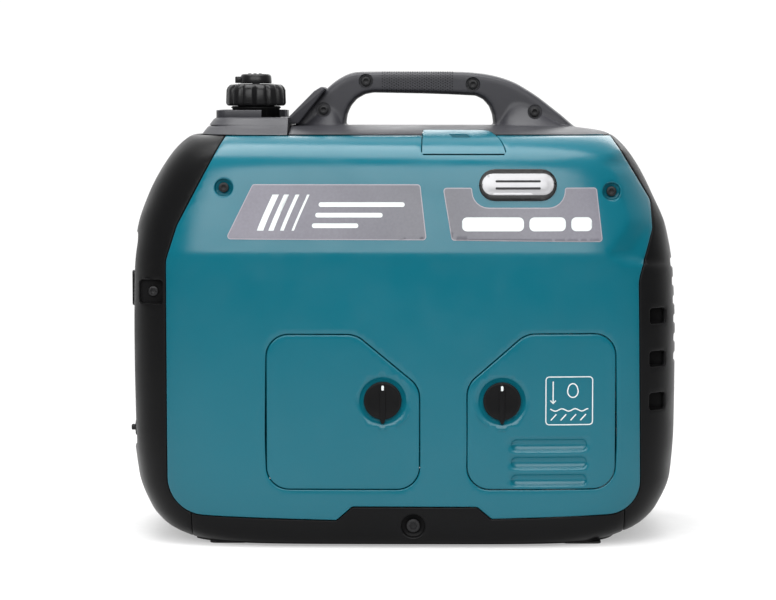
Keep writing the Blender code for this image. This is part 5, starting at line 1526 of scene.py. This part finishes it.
def make_badge():
    """A pill badge without lettering: a dark rim round a domed silver plate with two lines."""
    x, z, half, radius = BADGE
    rim = raised_mesh([pill_outline(x, z, half, radius)], 0.0016, 0.0040, edge=0.0012,
                      grid=0.003)
    place_piece("badge_rim", rim, SATIN_BLACK, "housing")
    dome = ((lambda a, b: pill_distance(a, b, x, z, half - 0.0044, radius - 0.0062),
             -0.0007, 0.0060),)
    plate = patch_mesh([on_side(pill_outline(x, z + 0.0004, half - 0.0026, radius - 0.0047))],
                       with_sinks(dome, raised=0.0019), 0.0022, edge=0.0006, grid=0.0022)
    place_piece("badge_plate", plate, SILVER, "housing")
    for k in (-1, 1):
        line = rectangle(x - 0.0205, z + 0.0032 * k - 0.0010, x + 0.0205,
                         z + 0.0032 * k + 0.0010, 0.0009)
        mark = raised_mesh([line], 0.00275, 0.0006, edge=0.0001, grid=0.004)
        place_piece(f"badge_line_{k + 1}", mark, DARK_STEEL, "housing")


def make_pictogram():
    """A pale line drawing of a drop over a level mark, in a rounded frame, on the oil door."""
    left, right, low, high = 0.1300, 0.1735, 0.1130, 0.1576
    frame_outline = rectangle(left, low, right, high, 0.0035)
    inner = inset(frame_outline, 0.0009)
    ring = raised_mesh([frame_outline, inner], 0.0003, 0.0005, edge=0.00005, grid=0.004,
                       round_steps=1)
    place_piece("pictogram_frame", ring, WHITE_INK, "oil_door")
    drop = [(0.1550 + 0.0048 * math.sin(t), 0.1440
             - 0.0056 * math.cos(t) * (1.0 if abs(t - math.pi) > 1.0 else 1.25))
            for t in np.linspace(0, 2 * math.pi, 33)[:-1]]
    shapes = [stroke(drop + drop[:1], 0.0010)]
    wave = [(x, 0.1270 + 0.0011 * math.sin((x - left) * 520))
            for x in np.linspace(0.1345, 0.1690, 24)]
    shapes.append(stroke(wave, 0.0010))
    for k in range(4):
        start = 0.1350 + 0.0090 * k
        shapes.append(stroke([(start, 0.1175), (start + 0.0050, 0.1230)], 0.0010))
    shapes.append(stroke([(0.1370, 0.1530), (0.1370, 0.1330)], 0.0010))
    shapes.append(stroke([(0.1346, 0.1356), (0.1370, 0.1328), (0.1394, 0.1356)], 0.0010))
    for k, shape in enumerate(shapes):
        film(f"pictogram_{k}", shape, 0.00032, WHITE_INK, "oil_door")


make_decals()
make_badge()
make_pictogram()


# ---------------------------------------------------------------- recess linings
def lining(outline, axis, low, high, wall=0.0012):
    """An open tray: walls round an outline and a floor at its inner end."""
    shell = prism_mesh(inset(outline, -wall), axis, min(low, high), max(low, high), 0.0002)
    deep, shallow = low, high
    way = 1 if shallow > deep else -1
    room = prism_mesh(outline, axis, min(deep + way * wall, shallow + way * 0.01),
                      max(deep + way * wall, shallow + way * 0.01))
    return carved(shell, room)


def make_linings():
    """Trays behind the screw pockets of the front frame and the vents of the rear cover."""
    low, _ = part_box("frame_screw")
    for side in (-1, 1):
        pocket = rectangle(-0.2410, 0.2220, -0.2200, 0.2435, 0.003)
        shallow = side * (abs(low.y) + 0.0012)
        tray = lining(pocket, "Y", side * (abs(low.y) - 0.0042), shallow)
        place_plain(f"frame_pocket_{side + 1}", tray)
    for level, (bottom, top) in enumerate(VENT_LEVELS):
        for side in (-1, 1):
            outline = rectangle(VENT_ENDS[0], bottom, VENT_ENDS[1], top, 0.003)
            surface, _ = surface_place(VENT_ENDS[0], (bottom + top) / 2, side)
            deep = side * (abs(surface.y) - 0.0260)
            tray = lining(outline, "Y", deep, side * (abs(surface.y) - 0.0185))
            place_plain(f"vent_tray_{level}_{side + 1}", tray)


make_linings()


def make_floor_pan():
    """The base's floor with stiffening ribs, and the four rubber feet."""
    outline = inset(base_outline, 0.0012)
    pan = prism_mesh(outline, "Z", 0.0023, 0.0050, 0.0008)
    place_plain("floor_pan", pan)
    for k in range(7):
        x = -0.1500 + 0.0520 * k
        rib = block_mesh((x - 0.0015, -0.1150, 0.0045), (x + 0.0015, 0.1150, 0.0120), 0.0004,
                         0.0008, "Z")
        place_plain(f"floor_rib_{k}", rib)
    for name in [f"foot_{k}" for k in range(1, 5)]:
        low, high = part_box(name)
        pad = block_mesh(low, high, 0.0004, 0.0060, "Z")
        piece = place_piece(name + "_pad", pad, RUBBER, "housing", smooth=False)
        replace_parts(piece, name)


make_floor_pan()


# ---------------------------------------------------------------- starter grip and rope
def superellipse(y, z, half_y, half_z, power, count):
    """A rounded section in the plane across X."""
    return [(y + half_y * a, z + half_z * b) for a, b in oval_steps(power, count)]


def make_grip():
    """The pull grip with its finger waists and raised bands."""
    low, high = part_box("starter_grip")
    centre, half = (low + high) / 2, (high - low) / 2
    slices = []
    stations = 40
    for k in range(stations + 1):
        t = -1 + 2 * k / stations
        end = (1 - abs(t) ** 6) ** 0.5 if abs(t) < 1 else 0.0
        waist = 1 - 0.16 * math.exp(-((abs(t) - 0.46) / 0.20) ** 2)
        deep, tall = half.y * max(end, 0.05), half.z * max(end, 0.05) * waist
        ring = superellipse(centre.y, centre.z, deep, tall, 2.8, 36)
        slices.append([(centre.x + half.x * t, y, z) for y, z in ring])
    grip = place_piece("starter_grip_body", loft_mesh(slices), RUBBER, "starter_grip")
    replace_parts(grip, "starter_grip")
    for side in (-1, 1):
        for k in range(3):
            x = centre.x + side * (half.x * 0.36 + 0.0035 * k)
            ring = [(x - 0.0006, y, z) for y, z in
                    superellipse(centre.y, centre.z, half.y * 0.985, half.z * 0.86, 2.8, 36)]
            band = loft_mesh([ring, [(x + 0.0006, y, z) for _, y, z in ring]])
            place_piece(f"grip_band_{side + 1}_{k}", band, RUBBER, "starter_grip",
                        smooth=False)


def make_rope(start, end):
    """The braided rope along the middle of its box, straight between the housing and the grip."""
    radius = (end.x - start.x) / 2
    middle = (start + end) / 2
    rings = []
    turns = math.pi / BRAID_PITCH
    length = end.y - start.y
    steps, around = 140, 24
    for k in range(steps + 1):
        y = start.y + length * k / steps
        ring = []
        for i in range(around):
            angle = 2 * math.pi * i / around
            reach = radius * (0.84 + 0.16 * abs(math.cos(2 * (angle - turns * (y - start.y)))))
            ring.append((middle.x + reach * math.cos(angle), y,
                         middle.z + reach * math.sin(angle)))
        rings.append(ring)
    rope = place_piece("rope_braided", loft_mesh(rings), BRAID, "housing")
    rope.parent = None
    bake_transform(rope)
    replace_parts(rope, "starter_rope")
    return middle


BRAID_PITCH = 0.012
make_grip()
rope_middle = make_rope(*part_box("starter_rope"))


def make_grip_pocket():
    """The tray round the grip, and the rope's guide in its floor."""
    x, z = GRIP_CENTRE
    surface, _ = surface_place(x, z, 1)
    mouth = surface.y - 0.0024
    tray = lining(pocket_outline, "Y", POCKET_FLOOR - 0.0012, mouth)
    hole = turned_mesh([(0.0, 0.004), (0.0046, 0.004), (0.0046, -0.004), (0.0, -0.004)],
                       (rope_middle.x, POCKET_FLOOR, rope_middle.z), (0, 1, 0), 32)
    place_plain("grip_tray", carved(tray, hole))
    profile = [(0.0026, 0.0006), (0.0032, 0.0014), (0.0044, 0.0018), (0.0060, 0.0016),
               (0.0072, 0.0006), (0.0072, 0.0), (0.0044, 0.0), (0.0044, -0.0030),
               (0.0026, -0.0030), (0.0026, 0.0006)]
    guide = turned_mesh(profile, (rope_middle.x, POCKET_FLOOR, rope_middle.z), (0, 1, 0), 40)
    place_piece("rope_guide", guide, STEEL, "housing")


make_grip_pocket()


# ---------------------------------------------------------------- control panel details
PANEL_FRONT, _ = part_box("control_panel")
PANEL_FACE = PANEL_FRONT.x


def line_on_panel(name, points, wide=0.0009):
    """A thin raised line on the panel's face, along (y, z) points."""
    for k, ((ya, za), (yb, zb)) in enumerate(zip(points, points[1:])):
        along = math.atan2(zb - za, yb - ya)
        dy, dz = -math.sin(along) * wide / 2, math.cos(along) * wide / 2
        ey, ez = math.cos(along) * wide / 2, math.sin(along) * wide / 2
        outline = [(ya - ey - dy, za - ez - dz), (yb + ey - dy, zb + ez - dz),
                   (yb + ey + dy, zb + ez + dz), (ya - ey + dy, za - ez + dz)]
        strip = prism_mesh(outline, "X", PANEL_FACE - 0.00022, PANEL_FACE + 0.0002)
        place_piece(f"{name}_{k}", strip, WHITE_INK, "housing", smooth=False)


def make_dial_switch():
    """The engine switch: a skirted knob with a fluted rim and a grip bar, and its marks."""
    low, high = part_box("engine_switch_dial")
    middle = (low + high) / 2
    reach = (high.z - low.z) / 2
    steps = 144
    flutes = 24

    def ring(radius, forward, bite):
        points = []
        for k, (c, s) in enumerate(round_steps_of(steps)):
            reach = radius - bite * (0.5 - 0.5 * math.cos(flutes * 2 * math.pi * k / steps))
            points.append((PANEL_FACE - forward, middle.y + reach * c, middle.z + reach * s))
        return points

    rings = [ring(0.0040, 0.0005, 0), ring(reach - 0.0004, 0.0005, 0), ring(reach, 0.0010, 0),
             ring(reach - 0.0003, 0.0022, 0), ring(reach - 0.0026, 0.0030, 0),
             ring(reach - 0.0030, 0.0034, 0.0008), ring(reach - 0.0042, 0.0088, 0.0008),
             ring(reach - 0.0052, 0.0099, 0.0002), ring(0.0040, 0.0099, 0)]
    knob = auto_smooth(place_piece("dial_body", loft_mesh(rings), SATIN_BLACK,
                                   "engine_switch_dial"), 40)
    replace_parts(knob, "engine_switch_dial")
    bar = block_mesh((low.x + 0.0002, middle.y - 0.0034, middle.z - reach + 0.0044),
                     (PANEL_FACE - 0.0085, middle.y + 0.0034, middle.z + reach - 0.0044),
                     0.0010, 0.0030, "X")
    place_piece("dial_bar", bar, SATIN_BLACK, "engine_switch_dial",
                smooth=False)
    mark = block_mesh((low.x, middle.y - 0.0008, middle.z + 0.0030),
                      (low.x + 0.0010, middle.y + 0.0008, middle.z + reach - 0.0052), 0.0001,
                      0.0005, "X")
    place_piece("dial_mark", mark, WHITE_INK, "engine_switch_dial",
                smooth=False)
    for k, angle in enumerate((45, 90, 135)):
        c, s = math.cos(math.radians(angle)), math.sin(math.radians(angle))
        line_on_panel(f"dial_tick_{k}", [(middle.y + (reach + 0.0016) * c,
                                          middle.z + (reach + 0.0016) * s),
                                         (middle.y + (reach + 0.0046) * c,
                                          middle.z + (reach + 0.0046) * s)])


make_dial_switch()


def make_outlet_lid(name):
    """A sprung lid: a plate with a raised field, a finger lip, hinge knuckles and a plug sign."""
    low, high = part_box(name)
    middle = (low + high) / 2
    front = low.x + 0.0032
    back = high.x - 0.0001
    plate = block_mesh((front, low.y, low.z), (back, high.y, high.z - 0.0030), 0.0011, 0.0045,
                       "X")
    field = block_mesh((front - 0.0006, low.y + 0.0032, low.z + 0.0060),
                       (front + 0.0012, high.y - 0.0032, high.z - 0.0072), 0.0005, 0.0030, "X")
    body = auto_smooth(place_piece(name + "_plate", merged(plate, field), BLACK, name), 50)
    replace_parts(body, name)
    lip = block_mesh((low.x, middle.y - 0.0118, low.z + 0.0001),
                     (front + 0.0008, middle.y + 0.0118, low.z + 0.0028), 0.0006, 0.0012, "X")
    place_piece(name + "_lip", lip, BLACK, name, smooth=False)
    for k, (start, end) in enumerate(((0.12, 0.34), (0.66, 0.88))):
        wide = high.y - low.y
        barrel = turned_mesh([(0.0, 0.0), (0.0016, 0.0), (0.0021, 0.0004),
                              (0.0021, wide * (end - start) - 0.0004),
                              (0.0016, wide * (end - start)), (0.0, wide * (end - start))],
                             (back - 0.0016, low.y + wide * start, high.z - 0.0022), (0, 1, 0),
                             28)
        place_piece(f"{name}_knuckle_{k}", barrel, BLACK, name)
    sign = turned_mesh([(0.0072, 0.0), (0.0072, 0.0006), (0.0078, 0.0006), (0.0078, 0.0),
                        (0.0072, 0.0)], (front - 0.0005, middle.y, middle.z), (-1, 0, 0), 44)
    place_piece(name + "_sign_ring", sign, WHITE_INK, name, smooth=False)
    for side in (-1, 1):
        pin = turned_mesh([(0.0, 0.0006), (0.0012, 0.0006), (0.0014, 0.0004), (0.0014, 0.0)],
                          (front - 0.0005, middle.y + side * 0.0034, middle.z), (-1, 0, 0), 20)
        place_piece(f"{name}_sign_pin_{side + 1}", pin, WHITE_INK, name)


for name in ("socket_lid_a", "socket_lid_b"):
    make_outlet_lid(name)


def make_display():
    """The status window: a bezel, a dark pane, three small lamps and three bars."""
    low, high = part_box("status_display")
    bezel = block_mesh((low.x + 0.0004, low.y, low.z), (high.x, high.y, high.z), 0.0005,
                       0.0022, "X")
    body = auto_smooth(place_piece("display_bezel", bezel, BLACK, "housing"), 50)
    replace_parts(body, "status_display")
    pane = block_mesh((low.x + 0.0001, low.y + 0.0015, low.z + 0.0015),
                      (low.x + 0.0012, high.y - 0.0015, high.z - 0.0015), 0.0002, 0.0014, "X")
    place_piece("display_pane", pane, GLOSS_BLACK, "housing", smooth=False)
    for k, colour in enumerate((GREEN, AMBER, RED)):
        y = low.y + 0.0085 + 0.0085 * k
        lamp = turned_mesh([(0.0, 0.0006), (0.0009, 0.00055), (0.0015, 0.0002), (0.0016, -0.0006)],
                           (low.x + 0.0006, y, (low.z + high.z) / 2), (-1, 0, 0), 24)
        place_piece(f"display_lamp_{k}", lamp, colour, "housing")
    for k in range(3):
        bar = block_mesh((low.x, high.y - 0.0060 - 0.0052 * k, low.z + 0.0036),
                         (low.x + 0.0008, high.y - 0.0030 - 0.0052 * k, high.z - 0.0036), 0.0001,
                         0.0003, "X")
        place_piece(f"display_segment_{k}", bar, WHITE_INK, "housing",
                    smooth=False)


make_display()


def make_earth_terminal():
    """The threaded earth stud and its knurled nut."""
    low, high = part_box("ground_stud")
    middle = (low + high) / 2
    radius = (high.z - low.z) / 2
    profile = [(0.0, 0.0), (radius - 0.0008, 0.0)]
    length = high.x - low.x
    pitch = 0.0010
    for k in range(int(length / pitch) - 1):
        profile += [(radius - 0.0004, 0.0005 + pitch * k), (radius, 0.0010 + pitch * k)]
    profile += [(radius - 0.0008, length), (0.0, length)]
    stud = turned_mesh(profile, (low.x, middle.y, middle.z), (1, 0, 0), 28)
    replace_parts(place_piece("earth_stud", stud, DARK_STEEL, "housing"),
                "ground_stud")
    low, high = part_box("ground_nut")
    reach = (high.z - low.z) / 2
    steps = 120
    rings = []
    for forward, grow, bite in ((0.0, -0.0008, 0.0), (0.0004, 0.0, 0.0005),
                                (high.x - low.x - 0.0004, 0.0, 0.0005),
                                (high.x - low.x, -0.0008, 0.0)):
        rings.append([(low.x + forward, middle.y + (reach + grow - bite * (k % 2)) * c,
                       middle.z + (reach + grow - bite * (k % 2)) * s)
                      for k, (c, s) in enumerate(round_steps_of(steps))])
    hole = turned_mesh([(0.0, -0.001), (radius + 0.0001, -0.001), (radius + 0.0001, 0.02),
                        (0.0, 0.02)], (low.x, middle.y, middle.z), (1, 0, 0), 28)
    nut = carved(loft_mesh(rings), hole)
    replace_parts(place_piece("earth_nut", nut, DARK_STEEL, "ground_nut",
                            smooth=False), "ground_nut")


make_earth_terminal()


def make_panel_marks():
    """Collars round the buttons and the outlet, and the plain signs on the panel."""
    dc, eco = at_node("dc_socket"), at_node("eco_switch")
    breaker, reset = at_node("dc_breaker_button"), at_node("ac_reset_button")
    for name, middle, radius in (("breaker", breaker, 0.0072), ("reset", reset, 0.0072),
                                 ("outlet", dc, 0.0168)):
        collar = turned_mesh([(radius - 0.0014, 0.0001), (radius - 0.0014, 0.0010),
                              (radius - 0.0008, 0.0014), (radius, 0.0008), (radius, 0.0001),
                              (radius - 0.0014, 0.0001)], (PANEL_FACE, middle.y, middle.z),
                             (-1, 0, 0), 48)
        place_piece(name + "_collar", collar, BLACK, "housing")
    line_on_panel("eco_mark", [(eco.y - 0.004, eco.z + 0.0150), (eco.y + 0.004, eco.z + 0.0150)])
    for k, across in enumerate((-0.042, 0.042)):
        wave = [(across - 0.006 + 0.0012 * i, 0.1840 + 0.0022 * math.sin(2 * math.pi * i / 10))
                for i in range(11)]
        line_on_panel(f"wave_{k}", wave, 0.0008)
    line_on_panel("steady_mark", [(dc.y - 0.0045, dc.z - 0.0225), (dc.y + 0.0045, dc.z - 0.0225)])
    ground = at_node("ground_nut")
    for k, half in enumerate((0.0042, 0.0028, 0.0014)):
        z = ground.z + 0.0006 - 0.0018 * k
        line_on_panel(f"earth_mark_{k}", [(ground.y + 0.0165 - half, z),
                                          (ground.y + 0.0165 + half, z)], 0.0007)
    line_on_panel("earth_stem", [(ground.y + 0.0165, ground.z + 0.0052),
                                 (ground.y + 0.0165, ground.z + 0.0006)], 0.0007)


make_panel_marks()

# softened edges on every CAD piece that still shows
for node in frame["nodes"].values():
    if not node.hide_render:
        softened = node.modifiers.new("edges", "BEVEL")
        softened.width = 0.0005
        softened.segments = 2
        softened.limit_method = "ANGLE"
        softened.angle_limit = math.radians(40)
